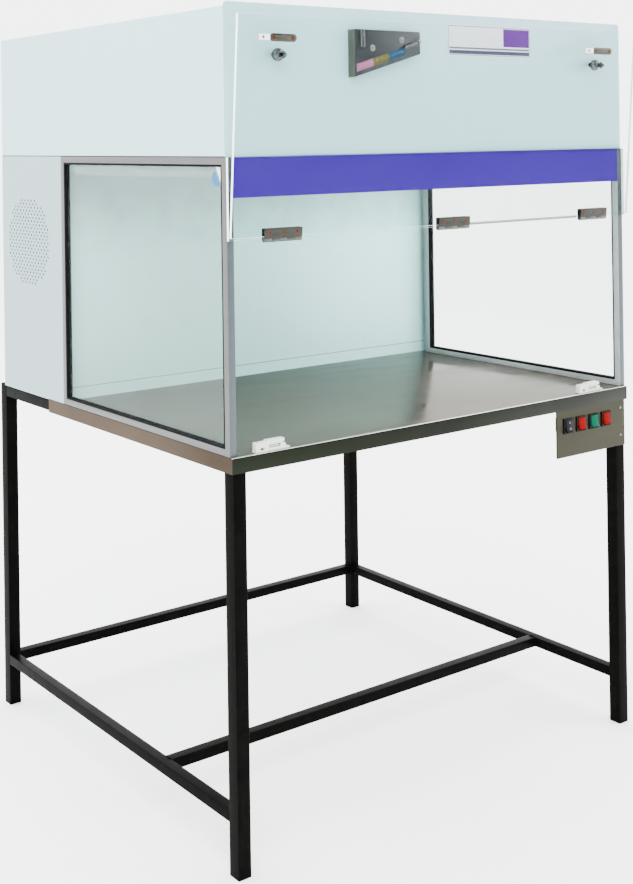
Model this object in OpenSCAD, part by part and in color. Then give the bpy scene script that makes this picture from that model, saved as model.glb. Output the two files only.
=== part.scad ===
/* [Stand] */
// Width over the outer faces of the legs
stand_w = 1246; // [1200:1:1256]
// Depth over the outer faces of the legs
stand_d = 1076; // [1060:1:1200]
// Side of the square leg and upper frame tube
leg_size = 32; // [28:1:40]
// Side of the square lower rail tube
rail_size = 25; // [20:1:30]
// Wall of all the stand's tubes
tube_wall = 2; // [1.5:0.5:3]
// Height of the underside of the lower rails
rail_z = 110; // [60:1:300]
// Distance of the middle rail behind the front face of the legs
mid_rail_y = 285; // [100:1:700]

/* [Work table] */
// Height of the work surface above the floor
table_h = 867; // [750:1:950]
// Width of the work table
table_w = 1260; // [1256:1:1264]
// Height of the folded apron
apron_h = 34; // [34:1:45]
// Overhang of the apron in front of the legs
table_front = 6; // [4:0.5:6.5]
// How far the table top and its side aprons reach behind the legs' front face
table_back = 788; // [760:1:900]

/* [Work zone] */
// Clear height between the table and the ceiling
zone_h = 614; // [560:1:700]
// Distance of the back wall behind the front face of the legs
wall_y = 736; // [730:1:738]
// Height of the low strip at the foot of the back wall
skirt_h = 30; // [20:1:60]
// Width of the bars of the side window frames
bar = 17; // [15:1:22]
// Visible width of the window gaskets
gasket_w = 5; // [3:0.5:8]
// Thickness of the window glass
glass_t = 5; // [4:0.5:6]
// Depth of the glass behind the outer face of its frame
glass_recess = 7; // [5:0.5:8]

/* [Cabinet] */
// Width over the side panels of the head and the rear case
case_w = 1260; // [1256:1:1264]
// Height of the head's shell
head_h = 312; // [300:1:450]
// How far the head's front panel stands above the shell
front_rise = 9; // [2:1:20]
// Distance of the rear face of the cabinet behind the front face of the legs
case_back = 1037; // [1000:1:1045]
// Thickness of the folded steel sheet
sheet = 1.2; // [1:0.1:1.5]
// Height of the violet valance
valance_h = 84; // [40:1:120]

/* [Intake holes] */
// Distance of the centre of the hole field behind the front face of the legs
intake_y = 888; // [880:1:895]
// Height of the centre of the hole field
intake_z = 1260; // [1180:1:1300]
// Radius of the hole field to its last hole centres
intake_r = 115; // [60:1:118]
// Upright pitch of the staggered holes
hole_pitch = 17.75; // [15:0.05:30]
// Size of one hole
hole_d = 5; // [3:0.5:8]

/* [Door] */
// Length of the door from its pivot to its free edge
door_len = 466; // [450:1:466]
// Thickness of the clear sheets
clear_t = 6; // [5:1:6]
// Lean of the raised door from upright, in degrees
lean = 4.2; // [4.2:0.1:12]
// Height of the hinge pivot above the work surface
pivot_h = 441; // [441:1:446]
// Length of one hinge
hinge_len = 100; // [80:1:110]
// Positions of the hinge centres across the door
hinge_x = [-496, 5, 497];
// Height of the knob centres from the pivot
knob_z = 385; // [380:1:400]
// Positions of the knobs across the door
knob_x = [-506, 508];
// Diameter of a knob
knob_d = 28; // [20:1:30]
// Length of a knob
knob_len = 35; // [20:1:35]
// Positions of the strike plates across the door
strike_x = [-513, 503];
// Positions of the catches across the table
catch_x = [-521, 495];

/* [Switch panel] */
// Left edge of the switch panel
panel_x = 361; // [350:1:363]
// Width of the switch panel
panel_w = 259; // [250:1:259]
// Height of the switch panel below the apron
panel_h = 117; // [95:1:160]
// Position of the first switch
switch_x = 402; // [392:1:404]
// Distance between the switches
switch_pitch = 47.8; // [42:0.1:49]
// Height of the switch centres below the work surface
switch_drop = 73.5; // [66:0.5:80]
// Tilt of each rocker from its middle position, in degrees
rocker_tilt = 9; // [5:1:9]

/* [Hidden] */

// General
eps = 1;                                // overrun of a cut past a face
clear = 0.3;                            // air between pieces that pass each other
rivet_r = 3.2;                          // head radius of the copper rivets
shank_r = 1.6;                          // shank radius of the copper rivets
rivet_head = 0.5;                       // height of a rivet head

// Levels
frame_top = table_h - sheet;
frame_z = frame_top - leg_size;
apron_z = table_h - apron_h;
ceiling_z = table_h + zone_h;
head_top = ceiling_z + head_h;
front_top = head_top + front_rise;
pivot_z = table_h + pivot_h;

// Depth, measured from the front face of the legs; front is negative
bar_y = 1;                              // front face of the front columns
clear_y = bar_y - clear_t;              // front face of the fixed clear panel
leaf_t = 2;                             // thickness of a hinge leaf
pin_r = 3;                              // radius of a hinge pin
knuckle_r = pin_r + leaf_t;
pivot_y = clear_y - knuckle_r;          // the hinge axis
front_y = bar_y + 3;                    // front face of the head's front panel
front_t = 2;                            // thickness of the head's front panel
shell_y = front_y + front_t;            // front edge of the head's shell

// The raised door's free corner is the foremost point; the whole hood is centred on its depth
door_reach = -pivot_y + clear_t / 2 * cos(lean) + door_len * sin(lean);
shift_y = (door_reach - stand_d) / 2;

half_case = case_w / 2;
half_table = table_w / 2;
half_stand = stand_w / 2;
side_in = half_case - sheet;            // inner face of the side panels
zone_in = half_case - bar;              // inner face of the window frames
side_y = 708;                           // front edge of the rear case's side panels

// Switches
switch_n = 4;
panel_y = sheet - table_front;          // front face of the switch panel, behind the apron
switch_z = table_h - switch_drop;
bezel_w = 36;
bezel_h = 37;
bezel_t = 3;
body_w = 30.6;
body_h = 34;
body_d = 28;
cavity_w = 25.2;
cavity_h = 31.6;
rocker_w = 24.4;
rocker_h = 28;
rocker_axis = 2;                        // depth of the rocker's pivot behind the panel's face
trunnion_r = 1.5;
trunnion_gap = 0.08;

// Blower
blower_y = 868;                         // depth of the blower's axis
wheel_r = 95;
wheel_w = 88;
blade_n = 20;
shaft_r = 6;
shaft_gap = 0.08;
scroll_x0 = -560;
scroll_w = 120;
scroll_wall = 1.5;
scroll_min = 106;
scroll_max = 150;
scroll_steps = 30;

// Filter in the head
pack_w = 1220;
pack_d = 610;
pack_h = 150;
pack_y = 97;
pack_wall = 15;
pleats = 48;

// Moves a piece from the legs' front face to the centre of the hood's depth
module placed() translate([0, shift_y, 0]) children();

// ---- building blocks ----

// A tube of square section standing on its lower end
module tube_up(size, len) difference() {
    cube([size, size, len]);
    translate([tube_wall, tube_wall, -eps])
        cube([size - 2 * tube_wall, size - 2 * tube_wall, len + 2 * eps]);
}

// The same tube lying across the hood
module tube_across(size, len) difference() {
    cube([len, size, size]);
    translate([-eps, tube_wall, tube_wall])
        cube([len + 2 * eps, size - 2 * tube_wall, size - 2 * tube_wall]);
}

// The same tube lying from front to back
module tube_deep(size, len) difference() {
    cube([size, len, size]);
    translate([tube_wall, -eps, tube_wall])
        cube([size - 2 * tube_wall, len + 2 * eps, size - 2 * tube_wall]);
}

// A block between two corners
module block(a, b) translate(a) cube(b - a);

// A cylinder along the X axis
module rod_x(r, len) rotate([0, 90, 0]) cylinder(r = r, h = len, $fn = 48);

// A cylinder along the Y axis, starting at its rear end and coming forward
module rod_y(r, len) rotate([90, 0, 0]) cylinder(r = r, h = len, $fn = 32);

// Draws a piece as it stands, or mirrored for the other side
module on_side(side) if (side < 0) children(); else mirror([1, 0, 0]) children();

// ---- stand ----

module leg(side, rear) color("#23241f") placed()
    translate([side < 0 ? -half_stand : half_stand - leg_size, rear ? stand_d - leg_size : 0, 0])
    tube_up(leg_size, frame_top);

module frame_across(y) color("#23241f") placed()
    translate([-half_stand + leg_size, y, frame_z]) tube_across(leg_size, stand_w - 2 * leg_size);

module frame_deep(x) color("#23241f") placed()
    translate([x, leg_size, frame_z]) tube_deep(leg_size, stand_d - 2 * leg_size);

module rail_deep(x) color("#23241f") placed()
    translate([x, leg_size, rail_z]) tube_deep(rail_size, stand_d - 2 * leg_size);

module rail_rear() color("#23241f") placed()
    translate([-half_stand + leg_size, stand_d - rail_size, rail_z])
    tube_across(rail_size, stand_w - 2 * leg_size);

module rail_middle() color("#23241f") placed()
    translate([-half_stand + rail_size, mid_rail_y, rail_z])
    tube_across(rail_size, stand_w - 2 * rail_size);

// ---- work table ----

module work_table() color("#8d8c84") placed() {
    block([-half_table, -table_front, frame_top], [half_table, table_back, table_h]);
    block([-half_table, -table_front, apron_z], [half_table, sheet - table_front, table_h]);
    block([-half_table, -table_front, apron_z], [sheet - half_table, table_back, table_h]);
    block([half_table - sheet, -table_front, apron_z], [half_table, table_back, table_h]);
}

// ---- switch panel ----

panel_top = frame_z;
panel_z = panel_top - panel_h;
panel_depth = 44;                       // depth of the fold under the frame
panel_stop = half_stand - leg_size - 1; // the deep fold stops short of the leg
panel_x1 = panel_x + panel_w;

module switch_panel() color("#7c7668") placed() difference() {
    union() {
        block([panel_x, panel_y, panel_z], [panel_x1, panel_y + sheet, panel_top]);
        block([panel_x, panel_y, panel_z], [panel_x + sheet, 0, panel_top]);
        block([panel_x, panel_y, panel_z], [panel_x1, 0, panel_z + sheet]);
        block([panel_x1 - sheet, panel_y, panel_z], [panel_x1, 0, panel_top]);
        block([panel_x, panel_y, panel_top - sheet], [panel_stop, panel_y + panel_depth, panel_top]);
    }
    for (i = [0 : switch_n - 1])
        translate([switch_x + i * switch_pitch - body_w / 2, panel_y - eps, switch_z - body_h / 2])
            cube([body_w, sheet + 2 * eps, body_h]);
}

// One switch body about its own centre: a bezel in front of the panel, a box behind, a well for the rocker
module switch_body() difference() {
    union() {
        block([-bezel_w / 2, -bezel_t, -bezel_h / 2], [bezel_w / 2, 0, bezel_h / 2]);
        block([-body_w / 2, -bezel_t, -body_h / 2], [body_w / 2, body_d, body_h / 2]);
    }
    block([-cavity_w / 2, -bezel_t - eps, -cavity_h / 2], [cavity_w / 2, body_d / 2, cavity_h / 2]);
    translate([-rocker_w / 2 - trunnion_r, rocker_axis, 0])
        rod_x(trunnion_r + trunnion_gap, rocker_w + 2 * trunnion_r);
}

module switch_bodies() color("#16171a") placed()
    for (i = [0 : switch_n - 1])
        translate([switch_x + i * switch_pitch, panel_y, switch_z]) switch_body();

// One rocker: a dished face, a tapering back and a trunnion at each side
module rocker(i, tint) color(tint) placed()
    translate([switch_x + i * switch_pitch, panel_y + rocker_axis, switch_z]) rotate([-rocker_tilt, 0, 0]) {
        rotate([90, 0, 90]) translate([0, 0, -rocker_w / 2]) linear_extrude(rocker_w)
            polygon([[-9, 14], [-7, 0], [-9, -14], [-2, -14], [4, -6], [4, 6], [-2, 14]]);
        translate([-rocker_w / 2 - trunnion_r + clear, 0, 0])
            rod_x(trunnion_r, rocker_w + 2 * trunnion_r - 2 * clear);
    }

// ---- rear case ----

// The hole field: a square lattice standing on its corner, cut to a circle
module hole_field() {
    half = hole_pitch / 2;
    n = floor(intake_r / half);
    for (i = [-n : n], j = [-n : n])
        if ((i + j) % 2 == 0 && norm([i * half, j * half]) <= intake_r)
            translate([i * half, j * half]) circle(d = hole_d, $fn = 8);
}

// A side panel of the rear case with the fold that meets the window frame
module side_panel(holes) {
    difference() {
        block([-half_case, side_y, table_h], [sheet - half_case, case_back, ceiling_z]);
        if (holes)
            translate([sheet - half_case + eps, intake_y, intake_z]) rotate([90, 0, -90])
                linear_extrude(sheet + 2 * eps) hole_field();
    }
    block([-half_case, side_y, table_h], [-zone_in, side_y + sheet, ceiling_z]);
}

module side_panel_left() color("#dfe5e6") placed() side_panel(true);

module side_panel_right() color("#dfe5e6") placed() mirror([1, 0, 0]) side_panel(false);

module rear_panel() color("#dfe5e6") placed()
    block([-side_in, case_back - sheet, table_h], [side_in, case_back, ceiling_z]);

module back_wall() color("#dbe6e2") placed()
    block([-side_in, wall_y, table_h + skirt_h], [side_in, wall_y + sheet, ceiling_z]);

module back_skirt() color("#dde8e4") placed()
    block([-side_in, wall_y, table_h], [side_in, wall_y + sheet, table_h + skirt_h]);

module floor_pan() color("#dfe5e6") placed()
    block([-half_case, table_back, frame_top], [half_case, case_back, table_h]);

module cable_gland() color("#222222") placed() translate([520, case_back, table_h + 60]) {
    translate([0, 5, 0]) rod_y(13, 5);
    translate([0, 18, 0]) rotate([90, 0, 0]) difference() {
        cylinder(r = 11, h = 13, $fn = 6);
        translate([0, 0, -eps]) cylinder(r = 5, h = 10, $fn = 32);
    }
}

// ---- blower ----

filter_x = -side_in;
filter_half = 135;
filter_t = 25;
filter_rim = 14;

module intake_filter() color("#e9ecea") placed()
    translate([filter_x, intake_y - filter_half, intake_z - filter_half]) {
        difference() {
            cube([filter_t, 2 * filter_half, 2 * filter_half]);
            translate([-eps, filter_rim, filter_rim])
                cube([filter_t + 2 * eps, 2 * (filter_half - filter_rim), 2 * (filter_half - filter_rim)]);
        }
        translate([filter_t / 2 - 4, filter_rim - eps, filter_rim - eps])
            cube([8, 2 * (filter_half - filter_rim + eps), 2 * (filter_half - filter_rim + eps)]);
    }

neck_y0 = 40;
neck_top = ceiling_z - intake_z;
neck_rim = 12;
neck_rim_t = 2;

// Outline of the scroll, growing over three quarters of a turn; extra is the wall
function scroll_points(extra) = [for (k = [0 : scroll_steps])
    let (a = 90 + 270 * k / scroll_steps, r = scroll_min + extra + (scroll_max - scroll_min) * k / scroll_steps)
    [r * cos(a), r * sin(a)]];

module scroll_form(extra) {
    polygon(concat(scroll_points(extra), [[neck_y0, scroll_min + extra]]));
    translate([neck_y0 - extra, 0]) square([scroll_max - neck_y0 + 2 * extra, neck_top]);
}

// The scroll with its neck, an intake hole at the left and the motor's hole at the right
module blower_housing() color("#b9bdbd") placed() translate([scroll_x0, blower_y, intake_z])
    difference() {
        union() {
            rotate([90, 0, 90]) linear_extrude(scroll_w) scroll_form(0);
            block([-neck_rim, neck_y0 - neck_rim, neck_top - neck_rim_t],
                [scroll_w + neck_rim, scroll_max + neck_rim, neck_top]);
        }
        translate([scroll_wall, 0, 0]) rotate([90, 0, 90])
            linear_extrude(scroll_w - 2 * scroll_wall) scroll_form(-scroll_wall);
        block([scroll_wall, neck_y0 + scroll_wall, neck_top - 20],
            [scroll_w - scroll_wall, scroll_max - scroll_wall, neck_top + 20]);
        translate([-eps, 0, 0]) rod_x(74, scroll_wall + 2 * eps);
        translate([scroll_w - scroll_wall - eps, 0, 0]) rod_x(30, scroll_wall + 2 * eps);
    }

wheel_x = scroll_x0 + 14;
hub_r = 42;
hub_w = 60;

module blower_wheel() color("#8f9496") placed() translate([wheel_x, blower_y, intake_z]) difference() {
    union() {
        translate([wheel_w - 3, 0, 0]) rod_x(wheel_r, 3);
        translate([wheel_w - hub_w, 0, 0]) rod_x(hub_r, hub_w);
        difference() {
            rod_x(wheel_r, 6);
            translate([-eps, 0, 0]) rod_x(wheel_r - 12, 6 + 2 * eps);
        }
        for (k = [0 : blade_n - 1])
            rotate([360 * k / blade_n, 0, 0]) translate([0, 0, wheel_r - 9])
                rotate([30, 0, 0]) translate([1, -1, -7]) cube([wheel_w - 3, 2, 14]);
    }
    translate([-eps, 0, 0]) rod_x(shaft_r + shaft_gap, wheel_w + 2 * eps);
}

module blower_motor() color("#3b3f42") placed() translate([scroll_x0, blower_y, intake_z]) {
    translate([30, 0, 0]) rod_x(shaft_r, scroll_w - 25);
    translate([scroll_w - scroll_wall - 10, 0, 0]) rod_x(24, 12);
    translate([scroll_w, 0, 0]) rod_x(52, 6);
    translate([scroll_w + 6, 0, 0]) rod_x(30, 40);
}

// ---- head ----

module head_shell() color("#e4e9e9") placed() difference() {
    block([-half_case, shell_y, ceiling_z], [half_case, case_back, head_top]);
    block([-side_in, shell_y - eps, ceiling_z - eps], [side_in, case_back - sheet, head_top - sheet]);
}

corner_r = 8;

// A plate with its two upper corners rounded
module head_front_panel() color("#dbe3e2") placed() translate([0, front_y + front_t, 0])
    rotate([90, 0, 0]) linear_extrude(front_t) {
        translate([-half_case, ceiling_z]) square([case_w, front_top - corner_r - ceiling_z]);
        translate([corner_r - half_case, ceiling_z])
            square([case_w - 2 * corner_r, front_top - ceiling_z]);
        for (x = [corner_r - half_case, half_case - corner_r])
            translate([x, front_top - corner_r]) circle(r = corner_r, $fn = 48);
    }

valance_lip = 15;

module valance() color("#6455b8") placed() {
    x = zone_in - clear;
    z = ceiling_z - valance_h;
    block([-x, bar_y, z], [x, bar_y + sheet, ceiling_z]);
    block([-x, bar_y, z], [x, bar_y + valance_lip, z + sheet]);
    block([-x, bar_y, ceiling_z - sheet], [x, bar_y + valance_lip, ceiling_z]);
}

recess_y = [22, 88];                    // opening for the tubes
recess_x = 594;
tube_z = ceiling_z + sheet + 18;

module ceiling_pan() color("#dbe3e2") placed() difference() {
    block([-side_in, shell_y, ceiling_z], [side_in, case_back - sheet, ceiling_z + sheet]);
    block([20 - pack_w / 2, pack_y + 20, ceiling_z - eps],
        [pack_w / 2 - 20, pack_y + pack_d - 20, ceiling_z + sheet + eps]);
    block([-recess_x, recess_y[0], ceiling_z - eps], [recess_x, recess_y[1], ceiling_z + sheet + eps]);
    block([scroll_x0 + scroll_wall, blower_y + neck_y0 + scroll_wall, ceiling_z - eps],
        [scroll_x0 + scroll_w - scroll_wall, blower_y + scroll_max - scroll_wall, ceiling_z + sheet + eps]);
}

pack_z = ceiling_z + sheet;

module filter_frame() color("#b8bcbd") placed() difference() {
    block([-pack_w / 2, pack_y, pack_z], [pack_w / 2, pack_y + pack_d, pack_z + pack_h]);
    block([pack_wall - pack_w / 2, pack_y + pack_wall, pack_z - eps],
        [pack_w / 2 - pack_wall, pack_y + pack_d - pack_wall, pack_z + pack_h + eps]);
}

// The pleated sheet: one zigzag with its own thickness
module filter_pack() color("#f1f1ec") placed() {
    w = pack_w - 2 * pack_wall;
    step = w / pleats;
    thick = 2;
    low = 12;
    high = pack_h - 12;
    top = [for (k = [0 : pleats]) [-w / 2 + k * step, k % 2 == 0 ? low : high]];
    under = [for (k = [pleats : -1 : 0]) [-w / 2 + k * step, (k % 2 == 0 ? low : high) - thick * 3]];
    translate([0, pack_y + pack_d - pack_wall, pack_z]) rotate([90, 0, 0])
        linear_extrude(pack_d - 2 * pack_wall) polygon(concat(top, under));
}

slot_l = 128;
slot_w = 8;
slot_cols = 8;
slot_rows = 28;

module diffuser() color("#cfd5d4") placed() {
    x = pack_w / 2 - 10;
    y0 = pack_y + 10;
    y1 = pack_y + pack_d - 10;
    col = 2 * (x - 15) / slot_cols;
    row = (y1 - y0 - 20) / slot_rows;
    translate([0, 0, ceiling_z - sheet]) linear_extrude(sheet) difference() {
        translate([-x, y0]) square([2 * x, y1 - y0]);
        for (i = [0 : slot_cols - 1], j = [0 : slot_rows - 1])
            translate([-x + 15 + (i + 0.5) * col - slot_l / 2, y0 + 10 + (j + 0.5) * row - slot_w / 2])
                square([slot_l, slot_w]);
    }
}

light_y = 39;
germ_y = 71;
light_half = 590;
germ_half = 447;
glass_tube_r = 13;

module lamp(y, half) translate([-half, y, tube_z]) rod_x(glass_tube_r, 2 * half);

module light_tube() color("#f4f6f6") placed() lamp(light_y, light_half);

module germicidal_tube() color("#dfe8f2") placed() lamp(germ_y, germ_half);

module tube_holders() color("#f0f0ee") placed() for (side = [-1, 1]) {
    x0 = side < 0 ? -light_half - 20 : light_half;
    block([x0, light_y - 12, pack_z], [x0 + 20, light_y + 12, tube_z + 16]);
    x1 = side < 0 ? -germ_half - 16 : germ_half;
    block([x1, germ_y - 14, pack_z], [x1 + 16, pack_y - 1, tube_z + 16]);
}

module ballast_box() color("#c8cccb") placed()
    block([-140, shell_y, ceiling_z + 52], [140, shell_y + 56, ceiling_z + 95]);

// ---- side windows ----

win_y0 = bar_y;
win_y1 = side_y;
open_y = [bar_y + bar, side_y - 14];
open_z = [table_h + 14, ceiling_z - 15];

module window_frame() difference() {
    block([-half_case, win_y0, table_h], [-zone_in, win_y1, ceiling_z]);
    block([-half_case - eps, open_y[0], open_z[0]], [eps - zone_in, open_y[1], open_z[1]]);
}

glass_x = glass_recess - half_case;
glass_bite = 3;

module window_glass() {
    g = gasket_w - glass_bite;
    block([glass_x, open_y[0] + g, open_z[0] + g], [glass_x + glass_t, open_y[1] - g, open_z[1] - g]);
}

module window_gasket() difference() {
    block([0.5 - half_case, open_y[0], open_z[0]], [-zone_in - 1, open_y[1], open_z[1]]);
    block([-half_case, open_y[0] + gasket_w, open_z[0] + gasket_w],
        [-zone_in, open_y[1] - gasket_w, open_z[1] - gasket_w]);
    window_glass();
}

module window_frame_on(side) color("#a9adae") placed() on_side(side) window_frame();

module gasket_on(side) color("#101112") placed() on_side(side) window_gasket();

module glass_on(side) color([0.75, 0.85, 0.83, 0.35]) placed() on_side(side) window_glass();

// ---- fixed front panel and hinges ----

module fixed_panel() color([0.80, 0.90, 0.90, 0.35]) placed()
    block([-half_case, clear_y, pivot_z + 2], [half_case, bar_y, ceiling_z - 0.5]);

leaf_h = 24;                            // height of a leaf from the pivot
knuckles = 5;
knuckle_gap = 0.4;
leaf_rivets = [-36, 0, 36];

// One leaf about the hinge axis, pointing up, its plate on the +Y side; odd knuckles are the upper leaf's
module leaf(first, bore) difference() {
    k_len = hinge_len / knuckles;
    union() {
        block([-hinge_len / 2, pin_r, 0], [hinge_len / 2, knuckle_r, leaf_h]);
        for (k = [first : 2 : knuckles - 1])
            translate([-hinge_len / 2 + k * k_len + knuckle_gap, 0, 0])
                rod_x(knuckle_r, k_len - 2 * knuckle_gap);
    }
    for (k = [1 - first : 2 : knuckles - 1])
        translate([-hinge_len / 2 + k * k_len - (k == 0 ? eps : knuckle_gap), 0, 0])
            rod_x(knuckle_r + 1, k_len + (k == 0 || k == knuckles - 1 ? eps : 0) + 2 * knuckle_gap);
    translate([-hinge_len / 2 - eps, 0, 0]) rod_x(bore, hinge_len + 2 * eps);
    for (x = leaf_rivets)
        translate([x, knuckle_r + eps, 15]) rod_y(shank_r, leaf_t + 2 * eps);
}

module hinge_upper_leaves() color("#6f716c") placed()
    for (x = hinge_x) translate([x, pivot_y, pivot_z]) leaf(0, pin_r + 0.01);

module hinge_pins() color("#8a8c88") placed()
    for (x = hinge_x) translate([x - hinge_len / 2, pivot_y, pivot_z]) rod_x(pin_r, hinge_len);

module hinge_door_leaves() color("#6f716c") on_door()
    for (x = hinge_x) translate([x, 0, 0]) mirror([0, 1, 0]) leaf(1, pin_r + 0.08);

// Rivets through the upper leaves and the fixed panel, and the two rivets of the switch panel
module panel_rivets() color("#7a4636") placed() {
    for (x = hinge_x, dx = leaf_rivets) translate([x + dx, 0, pivot_z + 15]) {
        translate([0, pivot_y + pin_r, 0]) rod_y(rivet_r, rivet_head);
        translate([0, clear_y, 0]) rod_y(shank_r, clear_t / 2 - 1);
    }
    for (z = [-53, -123])
        translate([panel_x1 - 16, panel_y, table_h + z]) rod_y(rivet_r, rivet_head);
}

// ---- door ----

// Places a piece drawn on the door, about its pivot and pointing up
module on_door() translate([0, pivot_y + shift_y, pivot_z]) rotate([lean, 0, 0]) children();

door_y = clear_t / 2;
door_z0 = knuckle_r + 2;

module door_sheet() color([0.80, 0.90, 0.90, 0.35]) on_door() difference() {
    block([-half_case, -door_y, door_z0], [half_case, door_y, door_len]);
    for (x = hinge_x, dx = leaf_rivets)
        translate([x + dx, door_y + eps, 15]) rod_y(shank_r, clear_t + 2 * eps);
    for (x = knob_x)
        translate([x, door_y + eps, knob_z]) rod_y(2.5, clear_t + 2 * eps);
    for (x = strike_x, dx = [-1, 1])
        translate([x + dx * strike_pitch / 2, door_y + eps, strike_z]) rod_y(shank_r, clear_t + 2 * eps);
}

knob_tip_r = 6;                         // radius of the buffer at a knob's end

// A knob: a neck, a wide head and a buffer, with its screw and cap nut through the sheet
module door_knobs() color("#c9cdd0") on_door() for (x = knob_x) translate([x, door_y, knob_z]) {
    rotate([-90, 0, 0]) rotate_extrude($fn = 64) polygon([[0, 0], [8, 0], [8, 2], [5.5, 3],
        [5.5, 11], [knob_d / 2 - 1, 14], [knob_d / 2, 16], [knob_d / 2, 21],
        [knob_d / 2 - 2, 24], [knob_tip_r, knob_len - 9], [knob_tip_r, knob_len], [0, knob_len]]);
    translate([0, eps, 0]) rod_y(2.5, clear_t + eps);
    translate([0, -clear_t, 0]) rod_y(4, 4);
}

strike_z = 420;
strike_l = 70;
strike_h = 17;
strike_t = 2;
strike_pitch = 50;

// A strike plate with round ends on the face that meets the catch
module strike_plates() color("#77786f") on_door() for (x = strike_x)
    translate([x, -door_y, strike_z]) rotate([90, 0, 0]) linear_extrude(strike_t) difference() {
        union() {
            square([strike_l - strike_h, strike_h], center = true);
            for (s = [-1, 1]) translate([s * (strike_l - strike_h) / 2, 0]) circle(d = strike_h, $fn = 48);
        }
        for (s = [-1, 1]) translate([s * strike_pitch / 2, 0]) circle(r = shank_r, $fn = 24);
    }

// Rivets through the door leaves and the strike plates, flush at the far face of the sheet
module door_rivets() color("#7a4636") on_door() {
    for (x = hinge_x, dx = leaf_rivets) translate([x + dx, 0, 15]) {
        translate([0, -knuckle_r, 0]) rod_y(rivet_r, rivet_head);
        translate([0, door_y, 0]) rod_y(shank_r, door_y + knuckle_r + rivet_head / 2);
    }
    for (x = strike_x, s = [-1, 1]) translate([x + s * strike_pitch / 2, 0, strike_z]) {
        translate([0, -door_y - strike_t, 0]) rod_y(rivet_r, rivet_head);
        translate([0, door_y, 0]) rod_y(shank_r, clear_t + strike_t + rivet_head / 2);
    }
}

// ---- catches ----

catch_w = 90;
catch_y = -2;                           // front face of a catch
catch_d = 14;

// A moulded catch: an end block with a hollow, a magnet housing with a slot in front, a step and a lip
module catches() color("#eeeeea") placed() for (x = catch_x) translate([x, catch_y, table_h])
    difference() {
        union() {
            block([-catch_w / 2, 0, 0], [-14, catch_d - 2, 21]);
            block([-catch_w / 2, 1, 0], [catch_w / 2, catch_d, 4]);
            block([-15, 1, 0], [26, catch_d, 23]);
            block([-15, 0, 16], [30, catch_d, 23]);
            block([25, 1, 0], [34, catch_d, 12]);
        }
        block([-9, -eps, 7], [21, 8, 13]);
        block([-33, -eps, 4], [-22, 6, 9]);
    }

// ---- gauge and label on the head's front ----

gauge_x = [-295, -99];
gauge_top = head_top - 38;
gauge_low = [head_top - 143, head_top - 88];             // lower edge at the left and at the right
gauge_d = 22;
gauge_t = 2;

function gauge_edge(x) = gauge_low[0] + (gauge_low[1] - gauge_low[0]) * (x - gauge_x[0]) / (gauge_x[1] - gauge_x[0]);

module gauge_outline() polygon([[gauge_x[0], gauge_top], [gauge_x[0], gauge_low[0]],
    [gauge_x[1], gauge_low[1]], [gauge_x[1], gauge_top]]);

// The gauge's bracket: a plate that stands off the head on its folded sides and top
module gauge_plate() color("#3a3f44") placed() {
    translate([0, front_y - gauge_d + gauge_t, 0]) rotate([90, 0, 0]) linear_extrude(gauge_t) gauge_outline();
    block([gauge_x[0], front_y - gauge_d, gauge_low[0]], [gauge_x[0] + gauge_t, front_y, gauge_top]);
    block([gauge_x[1] - gauge_t, front_y - gauge_d, gauge_low[1]], [gauge_x[1], front_y, gauge_top]);
    block([gauge_x[0], front_y - gauge_d, gauge_top - gauge_t], [gauge_x[1], front_y, gauge_top]);
}

gauge_angle = atan2(gauge_low[1] - gauge_low[0], gauge_x[1] - gauge_x[0]);

// The glass: an inclined tube along the lower edge, and an upright reservoir at the left
module gauge_glass() color([0.85, 0.9, 0.9, 0.6]) placed() {
    translate([gauge_x[0] + 7, front_y - gauge_d, gauge_edge(gauge_x[0]) + 22])
        rotate([0, -gauge_angle, 0]) translate([0, -3, 0]) rod_x(3, 140);
    translate([gauge_x[0] + 15, front_y - gauge_d - 8, gauge_top - 40]) cube([12, 8, 40]);
}

label_x = [9, 293];
label_z = [head_top - 88, head_top - 13];

module label_plate() color("#e6e6e8") placed()
    block([label_x[0], front_y - 1, label_z[0]], [label_x[1], front_y, label_z[1]]);

leg(-1, false);  // leg_front_left
leg(1, false);  // leg_front_right
leg(-1, true);  // leg_rear_left
leg(1, true);  // leg_rear_right
frame_across(0);  // frame_front
frame_across(stand_d - leg_size);  // frame_rear
frame_deep(-half_stand);  // frame_left
frame_deep(half_stand - leg_size);  // frame_right
rail_deep(-half_stand);  // rail_left
rail_deep(half_stand - rail_size);  // rail_right
rail_rear();
rail_middle();
work_table();
switch_panel();
switch_bodies();
rocker(0, "#232329");  // rocker_1
rocker(1, "#c81410");  // rocker_2
rocker(2, "#0fa968");  // rocker_3
rocker(3, "#c81410");  // rocker_4
side_panel_left();
side_panel_right();
rear_panel();
back_wall();
back_skirt();
floor_pan();
cable_gland();
intake_filter();
blower_housing();
blower_wheel();
blower_motor();
head_shell();
head_front_panel();
valance();
ceiling_pan();
filter_frame();
filter_pack();
diffuser();
light_tube();
germicidal_tube();
tube_holders();
ballast_box();
window_frame_on(-1);  // window_frame_left
window_frame_on(1);  // window_frame_right
gasket_on(-1);  // gasket_left
gasket_on(1);  // gasket_right
glass_on(-1);  // glass_left
glass_on(1);  // glass_right
fixed_panel();
panel_rivets();
hinge_upper_leaves();
hinge_door_leaves();
hinge_pins();
door_sheet();
door_knobs();
strike_plates();
door_rivets();
catches();
gauge_plate();
gauge_glass();
label_plate();
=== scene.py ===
import bpy, bmesh, math, random
from mathutils import Vector, Matrix


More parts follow.
